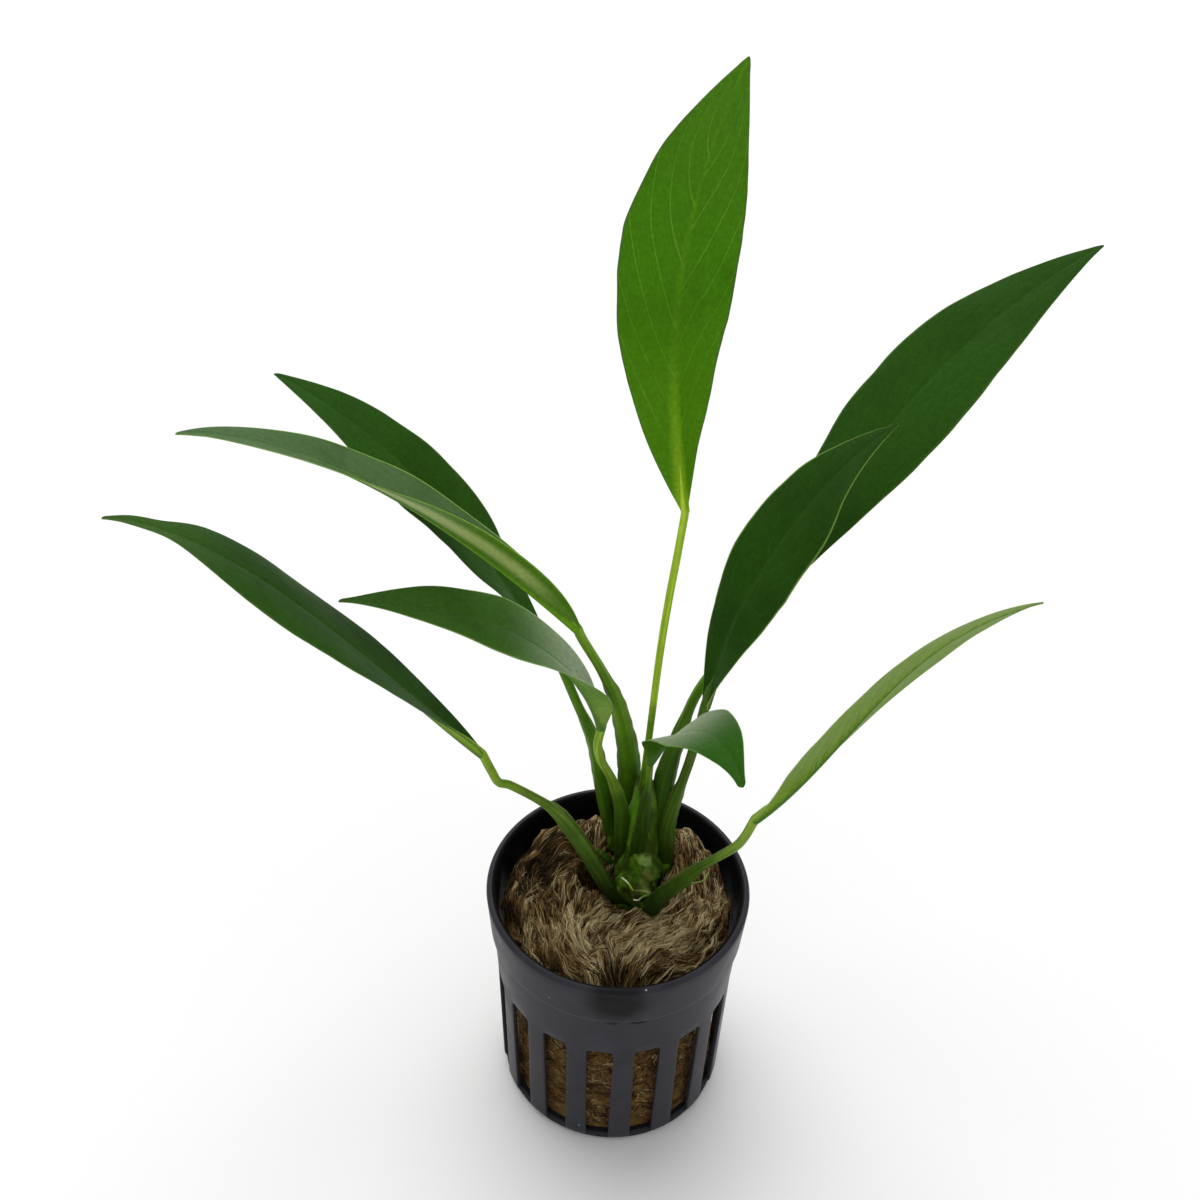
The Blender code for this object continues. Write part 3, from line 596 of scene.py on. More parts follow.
def add_node(tree, kind, *ordered, out=None, stops=(), **named):
    """Adds a shader node and returns its first output, or the one called `out`.

    Names with a capital are sockets, and the others are the node's own settings. `stops` are a colour
    ramp's places and hex codes. A Mix node mixes colours, and a MapRange node takes a value, the range
    it comes from and the range it goes to.
    """
    node = tree.nodes.new("ShaderNode" + kind)
    if kind == "Mix":
        node.data_type = "RGBA"
    for key, value in named.items():
        if key[0].islower():
            setattr(node, key, value)
    if stops:
        ramp = node.color_ramp.elements
        while len(ramp) < len(stops):
            ramp.new(1.0)
        for element, (place, code) in zip(ramp, stops):
            element.position = place
            element.color = colour(code)
    fill(tree, node, ordered, {key: value for key, value in named.items() if key[0].isupper()})
    return next(s for s in node.outputs if s.enabled and out in (None, s.name))


def new_material(name):
    """A material with only a Principled shader, and a function that adds nodes to it."""
    material = bpy.data.materials.new(name)
    material.use_nodes = True
    return material, functools.partial(add_node, material.node_tree)


def finished(material, **values):
    """The material, after its shader's own sockets are filled."""
    tree = material.node_tree
    fill(tree, tree.nodes["Principled BSDF"], (), values)
    return material


def apart(node, value, middle):
    """How far a value is from a middle one, as nodes."""
    off = node("Math", value, middle, operation="SUBTRACT")
    return node("Math", off, operation="ABSOLUTE")


def make_stage():
    """The floor, the white surroundings, a wide soft light and the camera of the photograph."""
    look = settings("stage")
    corners = np.array([(-1, -1, 0), (1, -1, 0), (1, 1, 0), (-1, 1, 0)]) * FLOOR_REACH
    mesh = new_mesh("floor", corners, [(0, 1, 2, 3)])
    # Matt paper: pale, even and without gloss
    material, _ = new_material("matt_paper")
    mesh.materials.append(finished(material, Base_Color=look.floor, Roughness=0.9, Specular_IOR_Level=0.1))
    floor = bpy.data.objects.new("floor", mesh)
    bpy.context.scene.collection.objects.link(floor)

    world = bpy.data.worlds.new("studio")
    world.use_nodes = True
    background = world.node_tree.nodes["Background"]
    background.inputs["Color"].default_value = (1.0, 1.0, 1.0, 1.0)
    background.inputs["Strength"].default_value = look.surround
    bpy.context.scene.world = world

    lamp = bpy.data.lights.new("key", "SUN")
    lamp.energy = look.key
    lamp.angle = look.key_angle
    light = bpy.data.objects.new("key", lamp)
    light.rotation_euler = (-Vector(KEY_FROM)).to_track_quat("-Z", "Y").to_euler()
    bpy.context.scene.collection.objects.link(light)

    lens = bpy.data.cameras.new("camera")
    lens.sensor_width = SENSOR
    lens.lens = FOCAL * SENSOR / PHOTO_SIZE
    lens.clip_start = 0.01
    camera = bpy.data.objects.new("camera", lens)
    turn = (Matrix.Rotation(math.radians(-CAMERA_TURN), 4, "Z")
            @ Matrix.Rotation(math.radians(90.0 - CAMERA_DOWN), 4, "X")
            @ Matrix.Rotation(math.radians(CAMERA_ROLL), 4, "Z"))
    camera.matrix_world = Matrix.Translation(Vector(CAMERA_PLACE) * MM) @ turn
    bpy.context.scene.collection.objects.link(camera)
    bpy.context.scene.camera = camera
    bpy.context.scene.view_settings.view_transform = "Standard"


def pot_material():
    """Polypropylene, injection moulded: charcoal with a satin skin that greys at a glance.

    Low, soft grain from the mould, faint scuffs, a few pale specks of dust, a painted dark reflection on the
    band and lip at the front, a painted highlight along the crease's edge over a painted line of shade under
    it, and painted shade on the inner wall above the crease.
    """
    look = settings("pot")
    material, node = new_material("polypropylene_moulded")
    place = node("TexCoord", out="Object")
    grain = node("TexNoise", place, Scale=MOULD_GRAIN, Detail=3.0, Roughness=0.6)
    scuff = node("TexNoise", place, Scale=POT_SCUFFS, Detail=5.0, Roughness=0.65, Distortion=0.4)
    soft = node("MapRange", scuff, 0.35, 0.7, 0.28, 0.46)
    share = node("MapRange", scuff, 0.35, 0.65)
    body = node("Mix", share, look.plastic, look.rubbed)
    height = node("SeparateXYZ", place, out="Z")
    # Painted highlight along the crease's rounded edge, and painted shade in a dark line under it
    for middle, half_height, tone, amount in ((CREASE_HEIGHT + 0.12, 0.16, look.highlit, 0.8),
                                              (CREASE_HEIGHT - 0.3, 0.3, look.dirt, 0.9)):
        off = apart(node, height, middle * MM)
        line = node("MapRange", off, 0.3 * half_height * MM, half_height * MM, amount, 0.0, **SMOOTH)
        line = node("Math", line, share, operation="MULTIPLY")
        body = node("Mix", line, body, tone)
    flat = node("VectorMath", place, (1.0, 1.0, 0.0), operation="MULTIPLY")
    radius = node("VectorMath", flat, operation="LENGTH")
    # Painted shade: the inner wall above the crease is painted near black, for the shade inside the pot
    inner = node("Math", radius, INNER_WALL * MM, operation="LESS_THAN")
    upper = node("Math", height, CREASE_HEIGHT * MM, operation="GREATER_THAN")
    inner = node("Math", inner, upper, operation="MULTIPLY")
    body = node("Mix", inner, body, look.inside)
    body = add_marks(node, body, place, POT_MARKS, 0.0012)
    cells = node("TexVoronoi", place, Scale=POT_DUST, Randomness=1.0)
    pick = node("TexWhiteNoise", cells.node.outputs["Position"])
    rare = node("Math", pick, 0.985, operation="GREATER_THAN")
    dot = node("MapRange", cells, 0.03, 0.05, 1.0, 0.0)
    speck = node("Math", rare, dot, operation="MULTIPLY")
    tone = node("Mix", speck, body, look.dust)
    bump = node("Bump", Height=grain, Strength=0.12, Distance=0.00006)
    return finished(material, Base_Color=tone, Roughness=soft, Normal=bump, IOR=1.49, Specular_IOR_Level=0.06)


def turned(*degrees):
    """The sine and cosine of each angle."""
    return [(math.sin(math.radians(a)), math.cos(math.radians(a))) for a in degrees]


def pot_section():
    """The wall's outer and inner (radius, height) points, row by row, and the rows where the slots turn.

    Row by row: half circles over the lip, the straight band, the rounded step of the crease, the tapered
    wall with the slots' round corners, a quarter circle at the bottom edge, and the flat floor.
    """
    lip = LIP_WIDTH / 2
    middle = RIM_RADIUS - lip
    top = POT_HEIGHT - lip
    band = CREASE_RADIUS + CREASE_STEP
    below = CREASE_RADIUS - CREASE_STEP
    inside = below - WALL
    rows = [(middle + lip * s, top + lip * c, middle - lip * s, top + lip * c)
            for s, c in turned(*range(0, 91, 15))]
    for share in (0.25, 0.5, 0.75, 0.95):
        height = top + (CREASE_HEIGHT + CREASE_ROUND - top) * share
        rows.append((RIM_RADIUS + (band - RIM_RADIUS) * share, height,
                     middle - lip + (inside - middle + lip) * share, height))
    for s, c in turned(0, 30, 60, 90):
        height = CREASE_HEIGHT + CREASE_ROUND * (1 - s)
        rows.append((band - CREASE_ROUND * (1 - c), height, inside, height))
    for s, c in turned(0, 45, 90):
        height = CREASE_HEIGHT - CREASE_HOLLOW * (1 - c) - 0.02
        rows.append((below + CREASE_HOLLOW * (1 - s), height, inside, height))
    first_slot_row = len(rows) + len(ROWS_OVER_SLOTS)
    corners = [SLOT_TOP - SLOT_CORNER * (1 - s) for s, _ in turned(90, 67, 45, 22, 0)]
    tapered = ((BASE_EDGE, SLOT_TOP, CREASE_HEIGHT), (BASE_RADIUS, SLOT_TOP_RADIUS, below))
    for height in (*ROWS_OVER_SLOTS, *corners, *ROWS_BESIDE_SLOTS):
        radius = np.interp(height, *tapered)
        rows.append((radius, height, radius - WALL, max(height, FLOOR + BASE_EDGE - WALL)))
    edge = BASE_RADIUS - BASE_EDGE
    slot_end = math.degrees(math.asin(1 - SLOT_BOTTOM / BASE_EDGE))
    last_slot_row = len(rows) + 2
    for s, c in turned(0, slot_end / 2, slot_end, (slot_end + 90) / 2, 90):
        rows.append((edge + BASE_EDGE * c, BASE_EDGE - BASE_EDGE * s,
                     edge + (BASE_EDGE - WALL) * c, FLOOR + (BASE_EDGE - WALL) * (1 - s)))
    floor_row = len(rows)
    section = np.array(rows + [(radius, 0.0, radius, FLOOR) for radius in FLOOR_RINGS])
    return section[:, :2], section[:, 2:], (first_slot_row, last_slot_row, floor_row, floor_row + 3)


def pot_sheet(depth, grow):
    """One sheet of the wall, `depth` of its thickness in, with the slots wider by `grow`.

    Each sixteenth of the turn has ten columns: the middle five span the slot, whose half width
    tapers with height and follows a quarter circle at its top corners.
    """
    outer, inner, (slot_top, slot_end, floor_top, _) = pot_section()
    section = outer + (inner - outer) * depth
    radius, height = section[:, 0], section[:, 1].copy()
    rows = np.arange(len(section))
    share = np.clip((outer[:, 1] - SLOT_BOTTOM) / (SLOT_TOP - SLOT_BOTTOM), 0.0, 1.0)
    half = SLOT_HALF_BOTTOM + (SLOT_HALF_TOP - SLOT_HALF_BOTTOM) * share
    drop = np.clip(SLOT_TOP - outer[:, 1], 0.0, SLOT_CORNER)
    inset = SLOT_CORNER - np.sqrt(np.maximum(SLOT_CORNER**2 - (SLOT_CORNER - drop)**2, 0.0))
    in_slot = (rows >= slot_top) & (rows <= slot_end)
    half = np.where(in_slot, half - inset + grow, half)
    narrowing = SLOT_HALF_TOP - SLOT_CORNER * smoothstep(rows, slot_top - 4, slot_top)
    half = np.where(rows < slot_top, narrowing, half)
    height = height + np.where(rows == slot_top, grow, 0.0) - np.where(rows == slot_end, grow, 0.0)
    half = np.where(rows >= floor_top, FLOOR_SLOT_HALF + grow, half)
    sector = 2 * np.pi / SLOT_COUNT
    spread = np.minimum(half / radius, 0.44 * sector)[:, None]
    ends = np.full((len(rows), 1), sector / 2)
    step = (ends - spread) / 3
    columns = np.hstack([-ends, step - ends, 2 * step - ends, -spread, -spread / 2, spread * 0, spread / 2,
                         spread, ends - 2 * step, ends - step])
    phase = math.radians(SLOT_PHASE) * (1.0 - smoothstep(-radius, -19.5, -FLOOR_RINGS[0]))
    turns = np.arange(SLOT_COUNT) * sector
    angle = phase[:, None, None] + turns[None, :, None] + columns[:, None, :]
    return round_axis(radius[:, None], angle.reshape(len(rows), -1), height[:, None])


def make_pot():
    """The net pot: an outer and an inner sheet on one grid of rows and columns, joined over the lip.

    Slot cells are left out of both sheets, and rings of faces through the wall close each opening
    with rounded edges.
    """
    look = settings("pot")
    rounding = look.edge / MM
    depth = rounding / WALL
    sheets = [pot_sheet(0.0, rounding), pot_sheet(0.3 * depth, 0.3 * rounding), pot_sheet(depth, 0.0),
              pot_sheet(1.0 - depth, 0.0), pot_sheet(1.0, rounding)]
    rows, around = sheets[0].shape[:2]
    per_sheet = rows * around
    slot_top, slot_end, floor_top, floor_end = pot_section()[2]
    per_sector = around // SLOT_COUNT
    first, final = SLOT_COLUMNS
    faces = rows_of(rows, around, wrap=True)
    row = np.repeat(np.arange(rows - 1), around)
    column = np.tile(np.arange(around), rows - 1)
    inside = (column % per_sector >= first) & (column % per_sector < final)
    odd = (column // per_sector) % 2 == 1
    opening = inside & (row >= slot_top) & (row < slot_end)
    opening |= inside & odd & (row >= floor_top) & (row < floor_end)
    walls = faces[~opening]
    last = len(sheets) - 1
    quads = [walls, walls[:, ::-1] + last * per_sheet]
    top_row = np.arange(around)
    quads.append(np.stack([top_row, np.roll(top_row, -1), np.roll(top_row, -1) + last * per_sheet,
                           top_row + last * per_sheet], -1)[:, ::-1])
    for i in range(SLOT_COUNT):
        for low, high in [(slot_top, slot_end)] + [(floor_top, floor_end)] * (i % 2):
            left, right = i * per_sector + first, i * per_sector + final
            loop = [(low, c) for c in range(left, right)] + [(r, right) for r in range(low, high)]
            loop += [(high, c) for c in range(right, left, -1)] + [(r, left) for r in range(high, low, -1)]
            ring = np.array([r * around + c for r, c in loop])
            ahead = np.roll(ring, -1)
            for k in range(last):
                a, b = k * per_sheet, (k + 1) * per_sheet
                quads.append(np.stack([ring + a, ring + b, ahead + b, ahead + a], -1))
    centre = np.array([(0.0, 0.0, 0.0), (0.0, 0.0, FLOOR)])
    points = np.vstack([sheet.reshape(-1, 3) for sheet in sheets] + [centre])
    end = (rows - 1) * around + top_row
    fans = [np.stack([end, np.roll(end, -1), np.full(around, len(points) - 2)], -1),
            np.stack([np.roll(end, -1), end, np.full(around, len(points) - 1)], -1)]
    fans[1][:, :2] += last * per_sheet
    mesh = new_mesh("net_pot", points, np.vstack(quads), np.vstack(fans))
    face_outwards(mesh, join=True)
    add_piece("net_pot", mesh, [pot_material()], "pot")


def notch_place(x, y):
    """How far a place is along the notch, from its inner end, and how far to its right."""
    (sx, sy), (ex, ey) = NOTCH_LINE
    size = math.hypot(ex - sx, ey - sy)
    wx, wy = (ex - sx) / size, (ey - sy) / size
    return (x - sx) * wx + (y - sy) * wy, (y - sy) * wx - (x - sx) * wy


def wool_hollows(x, y):
    """How far the wool's top is sunk at a place, in millimetres: the well, the hole and the notch.

    The well is as deep as (1 - q^2)^1.2 and the hole as 1 - q^2, q being the distance from the middle as
    a share of the radius. The notch is a V that widens and deepens towards the edge.
    """
    q = np.hypot((x - WELL_CENTRE[0]) / WELL_RADII[0], (y - WELL_CENTRE[1]) / WELL_RADII[1])
    sunk = WELL_DEPTH * np.clip(1 - q**2, 0.0, 1.0) ** 1.2
    q = np.hypot(x - HOLE_CENTRE[0], y - HOLE_CENTRE[1]) / HOLE_RADIUS
    sunk = sunk + HOLE_DEPTH * np.clip(1 - q**2, 0.0, 1.0)
    along, aside = notch_place(x, y)
    reach = smoothstep(along, -3.0, 9.0)
    slope = 1 - np.abs(aside) / (NOTCH_WIDTH * (0.3 + reach))
    return sunk + NOTCH_DEPTH * reach * np.clip(slope, 0.0, 1.0)


def mounds(x, y, places):
    """A sum of bell curves, height e^-(d/reach)^2 with d the distance from each noted place."""
    return sum(height * np.exp(-((x - px)**2 + (y - py)**2) / reach**2) for (px, py), reach, height in places)


def wool_top(x, y):
    """Height of the wool's top: a low dome, lower at its edge, with lumps and bulges, less the hollows."""
    r = np.hypot(x, y)
    plane = np.stack([x, y], -1)
    dome = DOME_HEIGHT + DOME_RISE * np.clip(r / DOME_RING, 0.0, 1.0)
    dome = dome - EDGE_DROP * np.clip((r - EDGE_START) / EDGE_REACH, 0.0, 1.3) ** 2.2
    lumps = 0.75 * ripple(plane, 9.0, 3) + 0.32 * ripple(plane, 3.6, 4)
    return dome + lumps + mounds(x, y, WOOL_BULGES) - wool_hollows(x, y)


def wool_flow(x, y):
    """Direction of the combed fibres, in radians, from the noted places.

    The noted directions are averaged as doubled angles, because a fibre points both ways, with
    weights that fall with the fourth power of the distance. Beside the notch a place on its other
    side counts as far away.
    """
    places = np.array([place for place, _ in WOOL_FLOW])
    doubled = np.exp(2j * np.radians([degrees for _, degrees in WOOL_FLOW]))
    distance = (x[..., None] - places[:, 0])**2 + (y[..., None] - places[:, 1])**2
    along, aside = notch_place(x, y)
    place_along, place_aside = notch_place(places[:, 0], places[:, 1])
    across = (aside[..., None] * place_aside < 0.0) & (place_along > -2.0)
    distance = distance + 90.0 * across * smoothstep(along, -4.0, 0.0)[..., None]
    weight = 1.0 / (distance + 4.0)**2
    return 0.5 * np.angle((weight * doubled).sum(-1))


def wool_shade(x, y):
    """How pale the wool is at a place, mostly from 0 to 1."""
    # A random tone, with painted light and painted shade from WOOL_SHADES
    return 0.44 + 0.10 * ripple(np.stack([x, y], -1), 6.0, 21) + mounds(x, y, WOOL_SHADES)


def wool_material(name, matted):
    """Rock wool: spun mineral fibre, matt, brown with binder, with paler combed strands on it.

    The eye gets it from many thin lines of light and dark, so each strand carries its own shade.
    """
    look = settings("wool")
    material, node = new_material(name)
    place = node("TexCoord", out="Object")
    shade = node("Attribute", out="Fac", attribute_name="shade")
    scale = MATTED_FIBRES if matted else COMBED_FIBRES
    mottle = node("TexNoise", place, Scale=scale, Detail=4.0, Roughness=0.7)
    spread = node("MapRange", mottle, 0.3, 0.7, -0.14, 0.14)
    level = node("Math", shade, spread, operation="ADD")
    low = node("MapRange", level, 0.0, 0.5)
    high = node("MapRange", level, 0.45, 1.0)
    dark = node("Mix", low, look.shadow, look.middle)
    tone = node("Mix", high, dark, look.pale)
    finished(material, Base_Color=tone, Roughness=0.85, Specular_IOR_Level=0.2)
    if matted:
        finished(material, Normal=node("Bump", Height=mottle, Strength=0.7, Distance=0.0003))
    return material


def wool_side(angle, height):
    """Radius of the wool's side with its lumps, at an angle and a height.

    The waist is e^-(h/9)^2 deep, h being the height from its middle, times sin(angle)^6, so that it is at
    the left and right.
    """
    radius = np.interp(height, WOOL_SIDE_HEIGHTS, WOOL_SIDE_RADII)
    waist = WAIST_DEPTH * np.exp(-((height - WAIST_HEIGHT) / 9.0)**2)
    radius = radius - waist * (1.0 + 0.25 * np.sin(angle)) * np.sin(angle)**6
    place = round_axis(radius, angle, height)
    return radius + 0.3 * ripple(place, 7.0, 5) + 0.14 * ripple(place, 2.4, 6)


def wool_body():
    """The matted plug: a turned section whose top follows `wool_top` and whose side is lumpy."""
    around, rows = 220, 120
    section = evened(np.pad(smooth_path(WOOL_PROFILE, 400), ((0, 0), (0, 1))), rows)
    radius, height = section[1:-1, :1], section[1:-1, 1:2]
    angle = np.linspace(0.0, 2 * np.pi, around, endpoint=False)
    side = smoothstep(height, 48.0, 43.0) * smoothstep(height, 2.2, 5.0)
    lumpy = wool_side(angle, height)
    wide = radius + side * (lumpy - np.interp(height, WOOL_SIDE_HEIGHTS, WOOL_SIDE_RADII))
    x, y = wide * np.sin(angle), -wide * np.cos(angle)
    on_top = np.arange(len(radius))[:, None] < len(radius) // 2
    lifted = wool_top(x, y) - 0.5
    blend = smoothstep(height, 43.0, 47.5) * on_top
    z = height * (1 - blend) + np.minimum(lifted, height + 5.0) * blend
    points, quads, fans = closed_tube(np.stack([x, y, z + 0 * x], -1))
    # Painted shade: the plug's top is dark, for the shade deep under the locks; its side, lower down, is
    # paler
    shade = np.clip(0.16 + 0.10 * ripple(points, 4.0, 8), 0.02, 0.5)
    shade = np.where(points[:, 2] < 44.0, shade + 0.16, shade)
    mesh = new_mesh("wool_plug", points, quads, fans, {"shade": shade})
    face_outwards(mesh)
    add_piece("wool_plug", mesh, [wool_material("mineral_wool_matted", True)], "rock_wool")


def add_strands(name, paths, widths, shades, lifts):
    """Adds a piece of thin three-sided strands with pointed ends, along many paths at once.

    `paths` is strands by points by 3. Between its two pointed ends each strand has a small triangle
    at every inner point, square to the path, whose first corner points along `lifts`. `shades` has a
    number for each point of each path.
    """
    count, stations = paths.shape[:2]
    along = unit(np.gradient(paths, axis=1))
    side = unit(np.cross(along, lifts))
    up = np.cross(side, along)
    turn = np.radians((90.0, 210.0, 330.0))
    inner = paths[:, 1:-1, None, :] + widths[:, 1:-1, None, None] * (
        side[:, 1:-1, None, :] * np.cos(turn)[:, None] + up[:, 1:-1, None, :] * np.sin(turn)[:, None] * 0.7)
    points = np.concatenate([paths[:, :1], inner.reshape(count, -1, 3), paths[:, -1:]], axis=1)
    shade = np.concatenate([shades[:, :1], np.repeat(shades[:, 1:-1], 3, axis=1), shades[:, -1:]], axis=1)
    per = points.shape[1]
    rings = stations - 2
    quads, triangles = [], []
    for r in range(rings - 1):
        for k in range(3):
            a, b = 1 + 3 * r + k, 1 + 3 * r + (k + 1) % 3
            quads.append((a, a + 3, b + 3, b))
    for k in range(3):
        triangles.append((0, 1 + k, 1 + (k + 1) % 3))
        last = 1 + 3 * (rings - 1)
        triangles.append((last + (k + 1) % 3, last + k, per - 1))
    offset = np.arange(count)[:, None, None] * per
    all_quads = (np.array(quads) + offset).reshape(-1, 4)
    all_triangles = (np.array(triangles) + offset).reshape(-1, 3)
    mesh = new_mesh(name, points.reshape(-1, 3), all_quads, all_triangles, {"shade": shade})
    add_piece(name, mesh, [bpy.data.materials["mineral_wool_strands"]], "rock_wool")


def lock_places(rng, part, parts):
    """Where one share of the top's locks start: on an even spiral, clear of the crown and the hollows."""
    count = settings("wool").locks
    number = np.arange(count) * parts + part
    radius = TOP_RADIUS * np.sqrt((number + 0.5) / (count * parts))
    angle = number * GOLDEN_ANGLE
    x = radius * np.sin(angle) + rng.normal(0.0, 0.5, count)
    y = -radius * np.cos(angle) + rng.normal(0.0, 0.5, count)
    q = np.hypot((x - CROWN_CLEAR[0]) / CROWN_CLEAR[2], (y - CROWN_CLEAR[1]) / CROWN_CLEAR[3])
    hole = np.hypot(x - HOLE_CENTRE[0], y - HOLE_CENTRE[1]) < HOLE_RADIUS * 0.8
    high = wool_hollows(x, y) < 3.6 + 9.0 * (q < 1.6)
    keep = (q > 0.9) & ~hole & high & (np.hypot(x, y) < TOP_RADIUS + 0.2)
    return x[keep], y[keep]


def lock_lines(rng, x, y):
    """The middle lines of the locks: each follows the flow, with a bend and a wave of its own."""
    locks, stations = len(x), 16
    size = settings("wool").strand_length / MM * rng.uniform(0.7, 1.35, locks)
    bend = rng.normal(0.0, 0.28, locks)
    turn = rng.normal(0.0, 0.16, locks)
    wave = rng.uniform(0.05, 0.4, locks)
    wavelength = rng.uniform(2.2, 5.0, locks)
    phase = rng.uniform(0.0, 2 * np.pi, locks)
    places = [np.stack([x, y], -1)]
    stride = size / (stations - 1) * np.where(ripple(places[0], 9.0, 77) > 0.0, 1.0, -1.0)
    before = None
    for share in np.linspace(0.0, 1.0, stations)[:-1]:
        heading = wool_flow(*places[-1].T) + turn + bend * (share - 0.5) * 2
        if before is not None:
            heading = heading + np.pi * (np.cos(heading - before) < 0.0)
        before = heading
        way = heading + wave * np.sin(2 * np.pi * share * size / wavelength + phase)
        places.append(places[-1] + stride[:, None] * np.stack([np.cos(way), np.sin(way)], -1))
    line = np.stack(places, 1)
    return line - 0.4 * (line[:, -1:] - line[:, :1])


def read_along(values, own, along):
    """The values at shares along each strand's own lock, read between the lock's points."""
    last = values.shape[1] - 1
    low = np.minimum((along * last).astype(int), last - 1)
    part = (along * last - low)[..., None]
    return values[own, low] * (1 - part) + values[own, low + 1] * part


def top_strands(name, part, parts):
    """One share of the combed locks on the wool's top.

    A lock's strands lie side by side over a rounded section, draw together to the tip and each start
    and end at their own share of its length. A lock rests on `wool_top`, its root buried and its tip a
    little raised. Its colour has painted light along its crest and on the higher locks, and painted shade
    towards its root and on the lower locks. One strand in six strays from it.
    """
    rng = np.random.default_rng(60 + part)
    x, y = lock_places(rng, part, parts)
    line = lock_lines(rng, x, y)
    across = unit(np.gradient(line, axis=1))[..., ::-1] * (-1.0, 1.0)
    locks = len(x)
    own = np.repeat(np.arange(locks), LOCK_STRANDS)[:, None]
    each = (len(own), 1)
    place = rng.uniform(-1.0, 1.0, each)
    loose = rng.uniform(size=each) < STRAY_SHARE
    start = rng.uniform(0.0, 0.35, each)
    end = np.minimum(start + rng.uniform(0.35, 0.8, each), 1.0)
    steps = np.linspace(0.0, 1.0, 7)
    along = start + (end - start) * steps
    half = rng.uniform(0.3, 0.85, locks)[own] * (1.0 - 0.6 * along**1.5)
    wiggle = np.sin(2 * np.pi * (along * rng.uniform(1.0, 3.0, each) + place * 5.0))
    stray = rng.normal(0.0, 1.0, each) * np.where(loose, 0.7, 0.16) * steps**2
    aside = place * half + np.where(loose, 0.22, 0.07) * wiggle + stray
    flat = read_along(line, own, along) + read_along(across, own, along) * aside[..., None]
    # Drawn in to the wall, and kept on its own side of the notch
    outside = np.hypot(flat[..., 0], flat[..., 1])
    wall = (TOP_EDGE - 0.1) * unit(np.stack([x, y], -1))
    limit = TOP_EDGE + 0.55 * ripple(wall, 5.0, 12)[own] + 0.3 * rng.normal(size=each)
    flat = flat * np.where(outside > limit, limit / np.maximum(outside, 1e-6), 1.0)[..., None]
    past, beside = notch_place(flat[..., 0], flat[..., 1])
    bank = np.sign(notch_place(x, y)[1])[own]
    push = np.where(past > 0.0, np.maximum(0.15 - beside * bank, 0.0), 0.0) * bank
    (sx, sy), (ex, ey) = NOTCH_LINE
    flat = flat + push[..., None] * unit(np.array((sy - ey, ex - sx)))
    depth = rng.normal(0.0, 0.45, locks)
    crest = 0.5 * (1.0 - place**2) * (1.0 - 0.5 * along)
    tip = np.clip(rng.normal(0.25, 0.4, locks), 0.0, 1.2)[own] * along**2
    arched = 0.5 * np.sin(np.pi * along * 0.9)
    height = wool_top(flat[..., 0], flat[..., 1]) - 0.75 + depth[own] + crest + tip + arched
    height = height + rng.normal(0.0, 0.12, each) + 0.35 * loose * np.sin(np.pi * steps)
    paths = np.concatenate([flat, height[..., None]], -1)
    width = settings("wool").strand_width / MM / 2 * rng.uniform(0.45, 1.3, each) * np.where(loose, 0.7, 1.0)
    width = width * np.sin(np.pi * np.linspace(0.1, 0.85, len(steps))) ** 0.5
    # Painted light and shade: higher locks paler and lower ones darker, a paler crest, darker towards each
    # root
    tone = wool_shade(x, y) + rng.normal(0.0, 0.12, locks) + 0.30 * depth
    shade = tone[own] + 0.18 * (0.5 - place**2) + rng.normal(0.0, 0.25, each)
    shade = np.clip(shade * (0.42 + 0.85 * along) + 0.10 * loose, 0.02, 1.0)
    add_strands(name, paths, width, shade, np.broadcast_to((0.0, 0.0, 1.0), paths.shape))


def side_strands(name, seed, count):
    """Short matted strands on the wool's side, each lying on it in a random direction."""
    rng = np.random.default_rng(seed)
    each = (count, 1)
    height = rng.uniform(2.5, 45.5, each)
    angle = rng.uniform(0.0, 2 * np.pi, each)
    heading = 2.4 * ripple(round_axis(MATTED_RADIUS, angle, height), 9.0, 33) + rng.normal(0.0, 0.5, each)
    curl = rng.normal(0.0, 1.6, each)
    share = np.linspace(0.0, 1.0, 6)
    reach = 3.0 * rng.uniform(0.5, 1.3, each) * (share - 0.5)
    way = heading + curl * (share - 0.5)
    around = angle + reach * np.cos(way) / MATTED_RADIUS
    z = np.clip(height + reach * np.sin(way), 1.8, 46.5)
    radius = wool_side(around, z) + rng.uniform(-0.05, 0.25, each) + 0.15 * np.sin(np.pi * share)
    paths = round_axis(radius, around, z)
    even = np.ones_like(share)
    width = settings("wool").strand_width / MM / 2 * rng.uniform(0.5, 1.1, each) * even
    tone = 0.37 + 0.18 * ripple(paths[:, :1], 5.0, 31)
    shade = np.clip(tone + rng.normal(0.0, 0.13, each), 0.03, 0.95) * even
    add_strands(name, paths, width, shade, unit(paths * (1.0, 1.0, 0.0)))


def make_wool():
    """The plug, the top's combed locks in four shares, and the side's matted strands."""
    wool_body()
    wool_material("mineral_wool_strands", False)
    for part in range(4):
        top_strands(f"wool_strands_{part}", part, 4)
    side_strands("wool_side_strands", 50, 18 * settings("wool").locks)


def at_thirds(values, t):
    """A cubic through four points that stand at 0, 1/3, 2/3 and 1."""
    places = (0.0, 1 / 3, 2 / 3, 1.0)
    total = np.zeros((len(t), 3))
    for i, value in enumerate(values):
        weight = np.ones(len(t))
        for j, place in enumerate(places):
            if i != j:
                weight *= (t - place) / (places[i] - place)
        total += weight[:, None] * np.array(value, float)
    return total


def at_halves(values, t):
    """A parabola through three values that stand at 0, 1/2 and 1."""
    start, middle, end = values
    return start + (4 * middle - 3 * start - end) * t + 2 * (start + end - 2 * middle) * t**2


